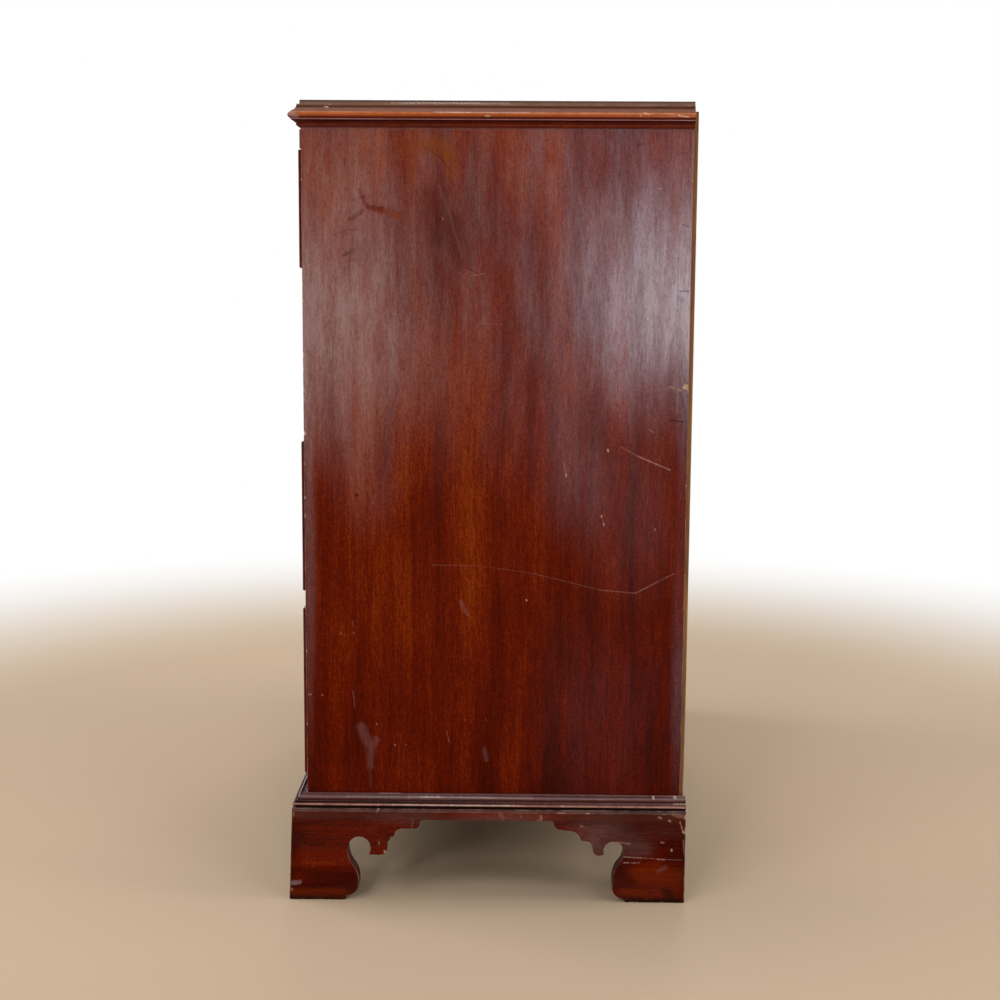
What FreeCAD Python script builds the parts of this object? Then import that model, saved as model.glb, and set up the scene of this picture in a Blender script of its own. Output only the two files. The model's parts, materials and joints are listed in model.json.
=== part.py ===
import FreeCAD, Part
import math
import os
import re
import Sketcher

# Bachelors chest of four long drawers with a brushing slide, on bracket feet.
# Millimetres, +Z up. X runs along the front, the front faces -Y, and the origin is on the floor
# in the middle of the chest's outer box.

V = FreeCAD.Vector
os.makedirs("parts", exist_ok=True)
doc = FreeCAD.newDocument("bachelors_chest")

# ---------------------------------------------------------------- driving dimensions

driving = {
    "case_width": (760, "outside of one side panel to the outside of the other"),
    "case_depth": (400, "side panel, front edge to back edge"),
    "case_front": (-192.5, "place of the side panels' front edges along Y"),
    "board_thick": (18, "side panels"),
    "foot_height": (102, "floor to the underside of the case"),
    "base_mould_height": (13, "moulding round the foot of the case"),
    "sill_height": (15, "bottom rail seen above the base moulding"),
    "opening_1": (122, "top drawer opening"),
    "opening_2": (144, "second drawer opening"),
    "opening_3": (161, "third drawer opening"),
    "opening_4": (183, "bottom drawer opening"),
    "rail_height": (18, "rails between the drawers"),
    "rail_depth": (60, "rails, front to back"),
    "slide_zone": (20.3, "height taken by the brushing slide and the rail under it"),
    "dust_thick": (8, "dustboards, and the rail under the slide"),
    "bed_height": (8.2, "moulding and rail under the top board"),
    "top_thick": (19, "top board"),
    "top_rear_lap": (0.5, "top board past the back edges of the sides"),
    "base_overhang": (15, "base moulding and plinth past the case, front and sides"),
    "base_rear_lap": (5.5, "base moulding and plinth past the back edges of the sides"),
    "plinth_thick": (18, "sawn plinth boards with the bracket feet"),
    "sill_thick": (22, "bottom rail, front to back"),
    "bottom_thick": (16, "bottom board of the case"),
    "housing": (6, "how far rails and dustboards enter the sides"),
    "rebate": (9, "rebate for the backboards, both ways"),
    "block_size": (28, "glue blocks in the corners of the plinth"),
    "running_gap": (0.6, "room round a drawer and round the slide"),
    "front_thick": (20, "drawer fronts"),
    "front_proud": (2, "drawer fronts past the case's front edge"),
    "pushed_in": (3.2, "second drawer, which closes further in than the others"),
    "lining": (10, "drawer sides and backs"),
    "drawer_bottom": (7, "drawer bottoms"),
    "drawer_end": (190.5, "place of the drawers' back ends along Y"),
    "bead_thick": (3, "cockbead strips"),
    "bead_proud": (3.3, "cockbead strips past the drawer front"),
    "bead_rebate": (8, "rebate that the side and bottom cockbeads sit in"),
    "handle_x": (180, "middle of each handle from the middle of the drawer"),
    "post_half": (40, "handle post from the middle of the handle"),
    "pivot_out": (12.5, "bail pivot in front of the drawer front"),
    "pivot_rise": (12, "bail pivot above the middle of the drawer front"),
    "bail_bar": (5, "thickness of the bail's bar"),
    "slide_thick": (11.3, "brushing slide board"),
    "slide_depth": (330, "brushing slide board, front to back"),
    "lipping_thick": (13, "front edge strip of the brushing slide, behind the case's front edge"),
}

sheet = doc.addObject("Spreadsheet::Sheet", "dims")
for row, (alias, (number, note)) in enumerate(driving.items(), start=1):
    sheet.set(f"A{row}", note)
    sheet.set(f"B{row}", str(number))
    sheet.setAlias(f"B{row}", alias)
doc.recompute()


def full(text):
    """Expression text in which each driving dimension is read from the sheet."""
    return re.sub(r"[a-z_][a-z_0-9]*",
                  lambda word: "dims." + word.group() if word.group() in driving else word.group(),
                  str(text))


def mm(text):
    """The number that an expression comes to."""
    return float(sheet.evalExpression(full(text)))


def bind(thing, path, text):
    thing.setExpression(path, full(text))


# ---------------------------------------------------------------- places worked out from them

case_rear = "(case_front + case_depth)"
half_case = "(case_width / 2)"
half_inside = "(case_width / 2 - board_thick)"
half_drawer = "(case_width / 2 - board_thick - running_gap)"
back_face = f"({case_rear} - rebate)"
floors = {4: "(foot_height + base_mould_height + sill_height)"}
for number in (3, 2, 1):
    floors[number] = f"({floors[number + 1]} + opening_{number + 1} + rail_height)"
slide_floor = f"({floors[1]} + opening_1)"
slide_shelf = f"({slide_floor} + dust_thick)"
bed_floor = f"({slide_floor} + slide_zone)"
top_floor = f"({bed_floor} + bed_height)"

# ---------------------------------------------------------------- ways of making a solid


def newBody(label):
    body = doc.addObject("PartDesign::Body", label)
    body.Label = label
    return body


def place(thing, corner):
    for axis, text in zip("xyz", corner):
        bind(thing, f"Placement.Base.{axis}", text)


def newSketch(body, name, role, offset):
    """Sketch on one of the body's own planes, moved along that plane's normal."""
    sketch = body.newObject("Sketcher::SketchObject", name)
    plane = next(item for item in body.Origin.OriginFeatures if item.Role == role)
    sketch.AttachmentSupport = (plane, [""])
    sketch.MapMode = "FlatFace"
    bind(sketch, "AttachmentOffset.Base.z", offset)
    return sketch


def rectangle(left, low, right, high):
    return [(left, low), (right, low), (right, high), (left, high), (left, low)]


def trace(sketch, outline):
    """Draw an outline: (x, y) ends a line, (xm, ym, x, y) ends an arc through xm, ym,
    and (x, y, radius) alone is a circle."""
    if len(outline) == 1:
        x, y, radius = outline[0]
        sketch.addGeometry(Part.Circle(V(x, y, 0), V(0, 0, 1), radius), False)
        return
    here = V(*outline[0], 0)
    for step in outline[1:]:
        there = V(*step[-2:], 0)
        if len(step) == 2:
            edge = Part.LineSegment(here, there)
        else:
            edge = Part.Arc(here, V(*step[:2], 0), there)
        sketch.addGeometry(edge, False)
        here = there


def prism(body, name, role, low, length, outlines, cut=False):
    """Pad or pocket between low and low + length along the axis that the plane faces."""
    faces_back = role == "XZ_Plane"
    if cut == faces_back:
        offset = f"-({low})" if faces_back else low
    else:
        offset = f"-(({low}) + ({length}))" if faces_back else f"({low}) + ({length})"
    sketch = newSketch(body, name + "_outline", role, offset)
    for outline in outlines:
        trace(sketch, outline)
    feature = body.newObject("PartDesign::Pocket" if cut else "PartDesign::Pad", name)
    feature.Profile = sketch
    bind(feature, "Length", length)
    return feature


def pocket(body, name, role, low, length, outlines):
    return prism(body, name, role, low, length, outlines, cut=True)


def board(label, corner, sizes):
    """Plain board: a constrained rectangle padded upwards, placed by its lowest corner."""
    body = newBody(label)
    sketch = newSketch(body, label + "_outline", "XY_Plane", 0)
    wide, deep = mm(sizes[0]), mm(sizes[1])
    trace(sketch, rectangle(0, 0, wide, deep))
    origin = -1
    for edge in range(4):
        sketch.addConstraint(Sketcher.Constraint("Coincident", edge, 2, (edge + 1) % 4, 1))
    for kind, edge in (("Horizontal", 0), ("Vertical", 1), ("Horizontal", 2), ("Vertical", 3)):
        sketch.addConstraint(Sketcher.Constraint(kind, edge))
    sketch.addConstraint(Sketcher.Constraint("Coincident", 0, 1, origin, 1))
    for kind, edge, number, text in (("DistanceX", 0, wide, sizes[0]), ("DistanceY", 1, deep, sizes[1])):
        index = sketch.addConstraint(Sketcher.Constraint(kind, edge, 1, edge, 2, number))
        bind(sketch, f"Constraints[{index}]", text)
    pad = body.newObject("PartDesign::Pad", label + "_pad")
    pad.Profile = sketch
    bind(pad, "Length", sizes[2])
    place(body, corner)
    return body


def mirrored(label, source):
    """The same piece on the other side of the chest."""
    twin = doc.addObject("Part::Mirroring", label)
    twin.Label = label
    twin.Source = source
    twin.Normal = V(1, 0, 0)
    return twin


def group(label, pieces):
    """Separate like pieces that share one node."""
    compound = doc.addObject("Part::Compound", label)
    compound.Label = label
    compound.Links = pieces
    return compound


def copyAt(label, master, corner):
    """One more of a turned or cast piece."""
    link = doc.addObject("App::Link", label)
    link.LinkedObject = master
    link.LinkTransform = False
    link.Placement = FreeCAD.Placement(V(*[mm(text) for text in corner]), FreeCAD.Rotation())
    return link


def turned(label, outline):
    """Turned piece on the Y axis, from an outline of (radius, place along Y)."""
    body = newBody(label)
    sketch = newSketch(body, label + "_outline", "XY_Plane", 0)
    trace(sketch, outline)
    lathe = body.newObject("PartDesign::Revolution", label + "_turning")
    lathe.Profile = sketch
    lathe.ReferenceAxis = (sketch, ["V_Axis"])
    lathe.Angle = 360
    return body


def roundedPath(points, radii):
    """Straight runs joined by tangent arcs, as an outline for trace."""
    outline = [points[0]]
    for before, corner, after, radius in zip(points, points[1:], points[2:], radii):
        inward = V(before[0] - corner[0], before[1] - corner[1], 0).normalize()
        outward = V(after[0] - corner[0], after[1] - corner[1], 0).normalize()
        half = inward.getAngle(outward) / 2
        reach = radius / math.tan(half)
        middle = V(*corner, 0) + (inward + outward).normalize() * (radius / math.sin(half) - radius)
        start = V(*corner, 0) + inward * reach
        end = V(*corner, 0) + outward * reach
        outline.append((start.x, start.y))
        outline.append((middle.x, middle.y, end.x, end.y))
    outline.append(points[-1])
    return outline


nodes = []

# ---------------------------------------------------------------- side panels

rail_reach = mm("rail_depth")
inner_reach = mm("case_depth - rebate")
lipping_gap = 0.4
slide_rail_set = mm("lipping_thick") + lipping_gap


def heightInSide(text):
    return mm(f"{text} - foot_height")


def sideHousings():
    """Housings for the rails and the boards behind them, seen along X in the side's own frame."""
    sill = mm("sill_thick")
    bottom_top = heightInSide(floors[4])
    bottom_low = bottom_top - mm("bottom_thick")
    outlines = [[(0, 0), (sill, 0), (sill, bottom_low), (inner_reach, bottom_low),
                 (inner_reach, bottom_top), (0, bottom_top), (0, 0)]]
    for level in (3, 2, 1):
        rail_top = heightInSide(floors[level])
        rail_low = rail_top - mm("rail_height")
        dust_low = rail_top - mm("dust_thick")
        outlines.append([(0, rail_low), (rail_reach, rail_low), (rail_reach, dust_low),
                         (inner_reach, dust_low), (inner_reach, rail_top), (0, rail_top), (0, rail_low)])
    outlines.append(rectangle(slide_rail_set, heightInSide(slide_floor), inner_reach,
                              heightInSide(slide_shelf)))
    outlines.append(rectangle(0, heightInSide(bed_floor), rail_reach, heightInSide(top_floor)))
    return outlines


side_left = board("side_left", (f"-{half_case}", "case_front", "foot_height"),
                  ("board_thick", "case_depth", f"{top_floor} - foot_height"))
pocket(side_left, "side_back_rebate", "XY_Plane", 0, f"{top_floor} - foot_height",
       [rectangle(mm("board_thick - rebate"), inner_reach, mm("board_thick"), mm("case_depth"))])
pocket(side_left, "side_housings", "YZ_Plane", "board_thick - housing", "housing", sideHousings())
side_right = mirrored("side_right", side_left)
nodes += [side_left, side_right]

# ---------------------------------------------------------------- rails and boards across the case

rail_span = f"(2 * {half_inside} + 2 * housing)"
rail_left = f"(-{half_inside} - housing)"

for level in (1, 2, 3):
    nodes.append(board(f"rail_{level}", (rail_left, "case_front", f"{floors[level]} - rail_height"),
                       (rail_span, "rail_depth", "rail_height")))

dust_start = "(case_front + rail_depth)"
dust_length = f"({back_face} - {dust_start})"
dustboards = []
for level in (1, 2, 3):
    dustboards.append(board(f"dustboard_{level}", (rail_left, dust_start, f"{floors[level]} - dust_thick"),
                            (rail_span, dust_length, "dust_thick")))
slide_rail_front = f"(case_front + {slide_rail_set})"
slide_rail_rear = f"({slide_rail_front} + rail_depth)"
dustboards.append(board("dustboard_slide", (rail_left, slide_rail_rear, slide_floor),
                        (rail_span, f"{back_face} - {slide_rail_rear}", "dust_thick")))
nodes.append(group("dustboards", dustboards))
nodes.append(board("slide_rail", (rail_left, slide_rail_front, slide_floor),
                   (rail_span, "rail_depth", "dust_thick")))

nodes.append(board("bottom_rail", (rail_left, "case_front", "foot_height"),
                   (rail_span, "sill_thick", f"{floors[4]} - foot_height")))
nodes.append(board("bottom_board", (rail_left, "case_front + sill_thick", f"{floors[4]} - bottom_thick"),
                   (rail_span, f"{back_face} - case_front - sill_thick", "bottom_thick")))

kicker_width = 40
top_rail = board("top_rail", (rail_left, "case_front", bed_floor), (rail_span, "rail_depth", "bed_height"))
kicker_left = board("kicker_left", (f"-{half_inside}", dust_start, bed_floor),
                    (kicker_width, dust_length, "bed_height"))
nodes.append(group("top_frame", [top_rail, kicker_left, mirrored("kicker_right", kicker_left)]))

# ---------------------------------------------------------------- top board

# moulded edge as (out from the case's face, above the underside): nose, cove, fillet, worn arris
top_edge = [(9.4, 0), (11.6, 3.0, 9.9, 5.9), (8.6, 7.35, 6.5, 8.7), (4.4, 10.8, 3.5, 14.6), (0.8, 14.6),
            (0.8, 17.8), (0.45, 18.65, -0.4, 19.0)]
past_nose = 12
rebate_rise = 10
rebate_past_rear = 5


def mapped(outline, face, way, base):
    """An edge profile stood against a face: way is -1 or +1 along the sketch's first axis."""
    result = []
    for step in outline:
        pairs = zip(step[0::2], step[1::2])
        result.append(tuple(number for out, up in pairs for number in (face + way * out, base + up)))
    return result


def reversedOutline(outline):
    """The same outline walked the other way."""
    ends = [step[-2:] for step in outline]
    middles = [step[:2] if len(step) == 4 else () for step in outline]
    result = [ends[-1]]
    for index in range(len(outline) - 1, 0, -1):
        result.append(tuple(middles[index]) + tuple(ends[index - 1]))
    return result


def topBoard():
    """Board moulded along its front and both ends, with a rebate for the backboards."""
    low = mm(top_floor)
    high = low + mm("top_thick")
    rear = mm(f"{case_rear} + top_rear_lap")
    front_edge = mapped(top_edge, mm("case_front"), -1, low)
    lengthwise = newBody("top_lengthwise")
    prism(lengthwise, "top_lengthwise_pad", "YZ_Plane", f"-{half_case} - {past_nose}",
          f"case_width + {2 * past_nose}", [front_edge + [(rear, high), (rear, low), front_edge[0]]])
    right_edge = mapped(top_edge, mm(half_case), 1, low)
    left_edge = mapped(top_edge, -mm(half_case), -1, low)
    crosswise = newBody("top_crosswise")
    prism(crosswise, "top_crosswise_pad", "XZ_Plane", f"case_front - {past_nose}",
          f"case_depth + {2 * past_nose}", [right_edge + reversedOutline(left_edge) + [right_edge[0]]])
    moulded = doc.addObject("Part::MultiCommon", "top_moulded")
    moulded.Shapes = [lengthwise, crosswise]
    back_rebate = doc.addObject("Part::Box", "top_back_rebate")
    bind(back_rebate, "Length", f"2 * ({half_inside} + rebate)")
    bind(back_rebate, "Width", f"rebate + {rebate_past_rear}")
    bind(back_rebate, "Height", rebate_rise)
    place(back_rebate, (f"-{half_inside} - rebate", back_face, top_floor))
    top = doc.addObject("Part::Cut", "top_board")
    top.Label = "top_board"
    top.Base = moulded
    top.Tool = back_rebate
    return top


nodes.append(topBoard())

# ---------------------------------------------------------------- mouldings in three mitred strips

# (out from the case, above the foot of the moulding)
bed_profile = [(0, 8.2), (9.2, 8.2), (9.2, 7.4), (6.7, 5.6, 4.7, 4.3), (3.3, 4.3), (3.3, 3.5), (4.2, 3.3),
               (3.4, 1.3, 1.2, 0), (0, 0), (0, 8.2)]
base_profile = [(0, 13), (1.5, 13), (2.3, 12.1, 4.0, 11.7), (5.0, 11.7), (9.3, 10.4, 9.4, 7.3),
                (8.6, 6.9), (10.6, 6.9), (10.6, 5.8), (11.4, 5.3, 12.6, 5.1), (14.6, 4.0, 14.3, 2.6),
                (11.0, 2.6), (11.0, 0), (0, 0), (0, 13)]


def mouldingStrips(label, profile, low, rear_lap):
    """Front strip and two side strips, mitred at the front corners."""
    spare = 1
    reach = max(step[-2] for step in profile) + spare
    height = max(step[-1] for step in profile)
    base, half, face = mm(low), mm(half_case), mm("case_front")
    far_x, far_y = half + reach + spare, face - reach - spare
    front_waste = [(half, face), (far_x, face), (far_x, far_y), (half, face)]
    twin = [(-x, y) for x, y in front_waste]
    side_waste = [(half, face), (half, far_y), (far_x, far_y), (half, face)]
    front = newBody(label + "_front")
    prism(front, label + "_front_pad", "YZ_Plane", f"-{half_case} - {reach}", f"case_width + {2 * reach}",
          [mapped(profile, face, -1, base)])
    pocket(front, label + "_front_mitres", "XY_Plane", base - spare, height + 2 * spare, [front_waste, twin])
    right = newBody(label + "_right")
    prism(right, label + "_right_pad", "XZ_Plane", f"case_front - {reach}",
          f"case_depth + {reach} + {rear_lap}", [mapped(profile, half, 1, base)])
    pocket(right, label + "_right_mitre", "XY_Plane", base - spare, height + 2 * spare, [side_waste])
    return group(label, [front, right, mirrored(label + "_left", right)])


nodes.append(mouldingStrips("bed_moulding", bed_profile, bed_floor, "top_rear_lap"))
nodes.append(mouldingStrips("base_moulding", base_profile, "foot_height", "base_rear_lap"))

# ---------------------------------------------------------------- plinth with bracket feet

# one foot as (in from its outer edge, above the floor): pad, toe, neck, pierced round, drop, steps
foot_outline = [(0, 0), (60.5, 0), (61.5, 5.0), (70.5, 8.6, 74.0, 19.5), (72.8, 29.8, 67.0, 39.5),
                (62.6, 48.5, 61.5, 58.5), (73.0, 70.8, 84.2, 59.5), (84.6, 54.0, 82.4, 50.8),
                (95.5, 50.2), (99.8, 52.6, 100.7, 58.4), (102.0, 64.6, 105.6, 68.4), (105.6, 70.6),
                (109.2, 70.6), (111.4, 77.4, 117.4, 80.1), (130.7, 80.1), (135.0, 82.0, 136.8, 86.5),
                (138.2, 89.2, 141.5, 90.0)]
# the rear feet of the sides have a stouter neck, a smaller round and a slimmer drop
rear_foot_outline = [(0, 0), (63.8, 0), (64.4, 3.8), (74.8, 8.4, 77.6, 17.6), (77.0, 29.8, 73.0, 40.0),
                     (67.8, 47.4, 65.8, 55.4), (76.4, 67.8, 87.0, 60.4), (87.6, 56.4, 86.2, 53.0), (91.6, 51.6),
                     (96.2, 53.4, 98.8, 58.6), (100.2, 63.4, 102.8, 67.0), (111.4, 68.6),
                     (114.4, 75.0, 121.6, 79.0), (134.6, 80.4), (138.8, 82.8, 140.8, 87.0),
                     (142.0, 89.3, 145.0, 90.0)]


def plinthOutline(start, length, far_foot):
    """Board with a foot at each end and the straight apron between them."""
    top = mm("foot_height")
    near = mapped(foot_outline, start, 1, 0)
    far = reversedOutline(mapped(far_foot, start + length, -1, 0))
    return near + far + [(start + length, top), (start, top), near[0]]


def plinth():
    """Front and side boards, mitred at the front corners."""
    thick, spare = mm("plinth_thick"), 1
    front_y = mm("case_front - base_overhang")
    half = mm(f"{half_case} + base_overhang")
    rear_y = mm(f"{case_rear} + base_rear_lap")
    inner_x, inner_y = half - thick, front_y + thick
    front_waste = [(half, front_y), (half, inner_y), (inner_x, inner_y), (half, front_y)]
    twin = [(-x, y) for x, y in front_waste]
    side_waste = [(-half, front_y), (-inner_x, front_y), (-inner_x, inner_y), (-half, front_y)]
    front = newBody("plinth_front")
    prism(front, "plinth_front_pad", "XZ_Plane", "case_front - base_overhang", "plinth_thick",
          [plinthOutline(-half, 2 * half, foot_outline)])
    pocket(front, "plinth_front_mitres", "XY_Plane", -spare, f"foot_height + {2 * spare}",
           [front_waste, twin])
    left = newBody("plinth_left")
    prism(left, "plinth_left_pad", "YZ_Plane", f"-{half_case} - base_overhang", "plinth_thick",
          [plinthOutline(front_y, rear_y - front_y, rear_foot_outline)])
    pocket(left, "plinth_left_mitre", "XY_Plane", -spare, f"foot_height + {2 * spare}", [side_waste])
    return [front, left, mirrored("plinth_right", left)]


nodes += plinth()

plinth_inside = f"({half_case} + base_overhang - plinth_thick)"
front_inside = "(case_front - base_overhang + plinth_thick)"
panel = mm(half_inside)
bottom_low = mm(f"{floors[4]} - bottom_thick")
bracket_thick = 16


def rearBracket():
    """Shaped board behind a rear foot, glued to the plinth's inner face and under the side panel."""
    edge, top = mm(plinth_inside), mm("foot_height")
    foot_width, arm_length, arm_height = 46, 122, 14
    toe_rise, hollow_in, hollow_up = 22, 66, 84
    bracket = newBody("rear_bracket_right")
    prism(bracket, "rear_bracket_pad", "XZ_Plane", f"{back_face} - {bracket_thick}", bracket_thick,
          [[(edge, 0), (edge, top), (panel, top), (panel, bottom_low), (edge - arm_length, bottom_low),
            (edge - arm_length, bottom_low - arm_height),
            (edge - hollow_in, hollow_up, edge - foot_width, toe_rise), (edge - foot_width, 0), (edge, 0)]])
    return bracket


def glueBlocks():
    """Upright blocks in the corners of the feet and flat ones along the aprons."""
    block, lift, flat_height = mm("block_size"), 3, 12
    apron_block_x, apron_block_depth = 90, 19
    flat_low = f"foot_height - {flat_height}"
    corner_x = f"{plinth_inside} - block_size"
    rear_low = f"{back_face} - {bracket_thick} - block_size"
    upright = ("block_size", "block_size", f"foot_height - {lift}")
    blocks = [board(f"block_{name}", (corner_x, low_y, lift), upright)
              for name, low_y in (("front", front_inside), ("rear", rear_low))]
    blocks.append(board("block_side", (corner_x, -block, flat_low), ("block_size", 2 * block, flat_height)))
    blocks.append(board("block_apron", (apron_block_x, front_inside, flat_low),
                        (2 * block, apron_block_depth, flat_height)))
    return blocks + [mirrored(right.Label + "_left", right) for right in blocks]


bracket_right = rearBracket()
nodes.append(group("rear_brackets", [bracket_right, mirrored("rear_bracket_left", bracket_right)]))
nodes.append(group("glue_blocks", glueBlocks()))

# ---------------------------------------------------------------- backboards and their nails

board_count = 5
board_gap = 0.6
edge_gap = 0.5
back_width = 2 * (panel + mm("rebate") - edge_gap)
back_board_width = (back_width - (board_count - 1) * board_gap) / board_count
back_low = mm("foot_height + 2")
back_high = mm(top_floor) + rebate_rise
waist_height = 250
waist_proud, head_bow, foot_bow = 5.2, 0.3, -0.8


def backCurve(height):
    """Rear face of the backboards, which thin a little towards the foot."""
    if height > waist_height:
        bow = head_bow * ((height - waist_height) / (back_high - waist_height)) ** 2
    else:
        bow = foot_bow * ((waist_height - height) / (waist_height - back_low)) ** 2
    return mm(case_rear) + waist_proud + bow


def backboards():
    face = mm(back_face)
    upper = (back_high + waist_height) / 2
    lower = (back_low + waist_height) / 2
    section = [(face, back_low), (backCurve(back_low), back_low),
               (backCurve(lower), lower, backCurve(waist_height), waist_height),
               (backCurve(upper), upper, backCurve(back_high), back_high),
               (face, back_high), (face, back_low)]
    boards = []
    for index in range(board_count):
        left = -back_width / 2 + index * (back_board_width + board_gap)
        body = newBody(f"backboard_{index + 1}")
        prism(body, f"backboard_{index + 1}_pad", "YZ_Plane", left, back_board_width, [section])
        boards.append(body)
    return group("backboards", boards)


def backNails():
    """Two nails a board in each row: into the top board, a dustboard and the bottom board."""
    head_radius, head_thick, head_proud = 3.2, 1.2, 0.4
    nail_radius, nail_length = 1.1, 30
    across = (0.2, 0.8)
    rows = (mm(f"{top_floor} + {rebate_rise / 2}"), mm(f"{floors[2]} - dust_thick / 2"),
            mm(f"{floors[4]} - bottom_thick / 2"))
    centres = []
    for index in range(board_count):
        left = -back_width / 2 + index * (back_board_width + board_gap)
        centres += [left + back_board_width * share for share in across]
    bodies = []
    for number, height in enumerate(rows, start=1):
        head_end = backCurve(height) + head_proud
        body = newBody(f"nail_row_{number}")
        prism(body, f"nail_heads_{number}", "XZ_Plane", head_end - head_thick, head_thick,
              [[(x, height, head_radius)] for x in centres])
        prism(body, f"nail_shanks_{number}", "XZ_Plane", head_end - nail_length, nail_length,
              [[(x, height, nail_radius)] for x in centres])
        bodies.append(body)
    return group("back_nails", bodies)


nodes += [backboards(), backNails()]

# ---------------------------------------------------------------- drawer stops

stop_x, stop_width, stop_depth, stop_height = 200, 45, 14, 6
stop_gap = 0.3


def drawerFace(number):
    """Place of a drawer front's outer face along Y."""
    inset = "pushed_in" if number == 2 else "0"
    return f"(case_front - front_proud + {inset})"


stops = []
for number in (1, 2, 3, 4):
    right = board(f"stop_{number}_right",
                  (stop_x, f"{drawerFace(number)} + front_thick + {stop_gap}", floors[number]),
                  (stop_width, stop_depth, stop_height))
    stops += [right, mirrored(f"stop_{number}_left", right)]
nodes.append(group("drawer_stops", stops))

# ---------------------------------------------------------------- brushing slide

slide_gap = 0.5
lip_proud = 3.8
lip_front = f"(case_front - {lip_proud})"
lip_rear = "(case_front + lipping_thick)"
tongue_length, tongue_low, tongue_thick = 7, 4, 5
tongue_root = 1
slide_base = f"({slide_shelf} + {slide_gap})"

slide_board = board("slide_board", (f"-{half_drawer}", lip_rear, slide_base),
                    (f"2 * {half_drawer}", "slide_depth", "slide_thick"))
prism(slide_board, "slide_tongue", "XZ_Plane", -tongue_length, tongue_length + tongue_root,
      [rectangle(0, tongue_low, mm(f"2 * {half_drawer}"), tongue_low + tongue_thick)])

lip_low = f"({slide_floor} + {slide_gap})"
lip_height = f"slide_zone - 2 * {slide_gap}"
groove_low = mm(f"{slide_base} - {lip_low}") + tongue_low
slide_lipping = board("slide_lipping", (f"-{half_drawer}", lip_front, lip_low),
                      (f"2 * {half_drawer}", f"{lip_rear} - {lip_front}", lip_height))
lip_depth = mm(f"{lip_rear} - {lip_front}")
pocket(slide_lipping, "lipping_groove", "XZ_Plane", lip_depth - tongue_length, tongue_length,
       [rectangle(0, groove_low, mm(f"2 * {half_drawer}"), groove_low + tongue_thick)])

knob_stem_radius, knob_stem_length = 1.6, 5
knob_height = mm(lip_height) / 2
knob_places = [mm(f"{half_drawer} + {way} * handle_x") for way in (-1, 1)]
pocket(slide_lipping, "lipping_knob_holes", "XZ_Plane", 0, knob_stem_length,
       [[(x, knob_height, knob_stem_radius)] for x in knob_places])
knob = turned("slide_knob", [(0, knob_stem_length), (knob_stem_radius, knob_stem_length),
                             (knob_stem_radius, 0), (6.0, 0), (6.0, -1.2), (5.2, -2.0),
                             (3.4, -3.6, 3.0, -6.0), (4.4, -7.2, 6.2, -8.4), (6.6, -9.4, 6.2, -10.4),
                             (4.2, -12.3, 1.5, -13.0), (0, -13.0), (0, knob_stem_length)])
knobs = [copyAt(f"slide_knob_{name}", knob, (f"{way} * handle_x", lip_front, f"{lip_low} + {knob_height}"))
         for name, way in (("left", -1), ("right", 1))]
nodes += [slide_board, slide_lipping, group("slide_knobs", knobs)]

# ---------------------------------------------------------------- handles

bar_radius = mm("bail_bar") / 2
pin_gap = 0.05
ball_radius, neck_radius, shank_radius = 6.5, 3.2, 2.5
nut_radius, nut_thick, past_nut = 6.5, 4, 1
shank_hole = 0.1


def handlePost():
    """Ball-headed post on a threaded shank, cross-drilled for the bail's end."""
    out = -mm("pivot_out")
    reach = mm("front_thick") + nut_thick + past_nut

    def onBall(degrees):
        angle = math.radians(degrees)
        return ball_radius * math.cos(angle), out + ball_radius * math.sin(angle)

    neck_angle = math.degrees(math.acos(neck_radius / ball_radius))
    post = turned("post_turning", [(0, reach), (shank_radius, reach), (shank_radius, 0), (neck_radius, 0),
                                   onBall(neck_angle), onBall(neck_angle / 2) + onBall(0),
                                   onBall(-45) + onBall(-90), (0, reach)])
    hole = doc.addObject("Part::Cylinder", "post_hole")
    hole.Radius = bar_radius + pin_gap
    hole.Height = 4 * ball_radius
    hole.Placement = FreeCAD.Placement(V(-2 * ball_radius, out, 0), FreeCAD.Rotation(V(0, 1, 0), 90))
    drilled = doc.addObject("Part::Cut", "handle_post")
    drilled.Base = post
    drilled.Tool = hole
    return drilled


rose = turned("handle_rose", [(neck_radius, 0), (13.0, 0), (13.0, -0.8), (12.6, -1.6, 11.8, -2.0),
                              (10.2, -2.0), (9.9, -2.6), (8.6, -3.3, 7.0, -3.6), (neck_radius, -3.6),
                              (neck_radius, 0)])
nut_seat = mm("front_thick")
nut = turned("handle_nut", [(shank_radius, nut_seat), (nut_radius, nut_seat),
                            (nut_radius, nut_seat + nut_thick), (shank_radius, nut_seat + nut_thick),
                            (shank_radius, nut_seat)])
post = handlePost()


def swingBail(label, centre):
    """Swan-neck bail: a round bar whose ends turn out into the posts."""
    half_grip, half_neck, half_pin = 31, 24, 43.5
    widest, waist_drop, drop = 37, 19, 32
    neck_bend, grip_bend = 5, 8
    points = [(-half_pin, 0), (-half_neck, 0), (-widest, -waist_drop), (-half_grip, -drop),
              (half_grip, -drop), (widest, -waist_drop), (half_neck, 0), (half_pin, 0)]
    body = newBody(label)
    path = newSketch(body, label + "_path", "XZ_Plane", 0)
    trace(path, roundedPath(points, [neck_bend] + 4 * [grip_bend] + [neck_bend]))
    section = newSketch(body, label + "_section", "YZ_Plane", -half_pin)
    trace(section, [(0, 0, bar_radius)])
    pipe = body.newObject("PartDesign::AdditivePipe", label + "_bar")
    pipe.Profile = section
    pipe.Spine = (path, [])
    place(body, centre)
    return body


# ---------------------------------------------------------------- drawers

tail_length, tail_slope, pin_width, tail_pitch = 11, 6, 4, 30
bottom_rise = 10
side_drop, back_drop = 6, 8
groove_depth = 5
lock_half, lock_height, lock_depth, lock_plate = 28, 32, 11, 2
key_rise = 3
thread_depth = 4

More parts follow.
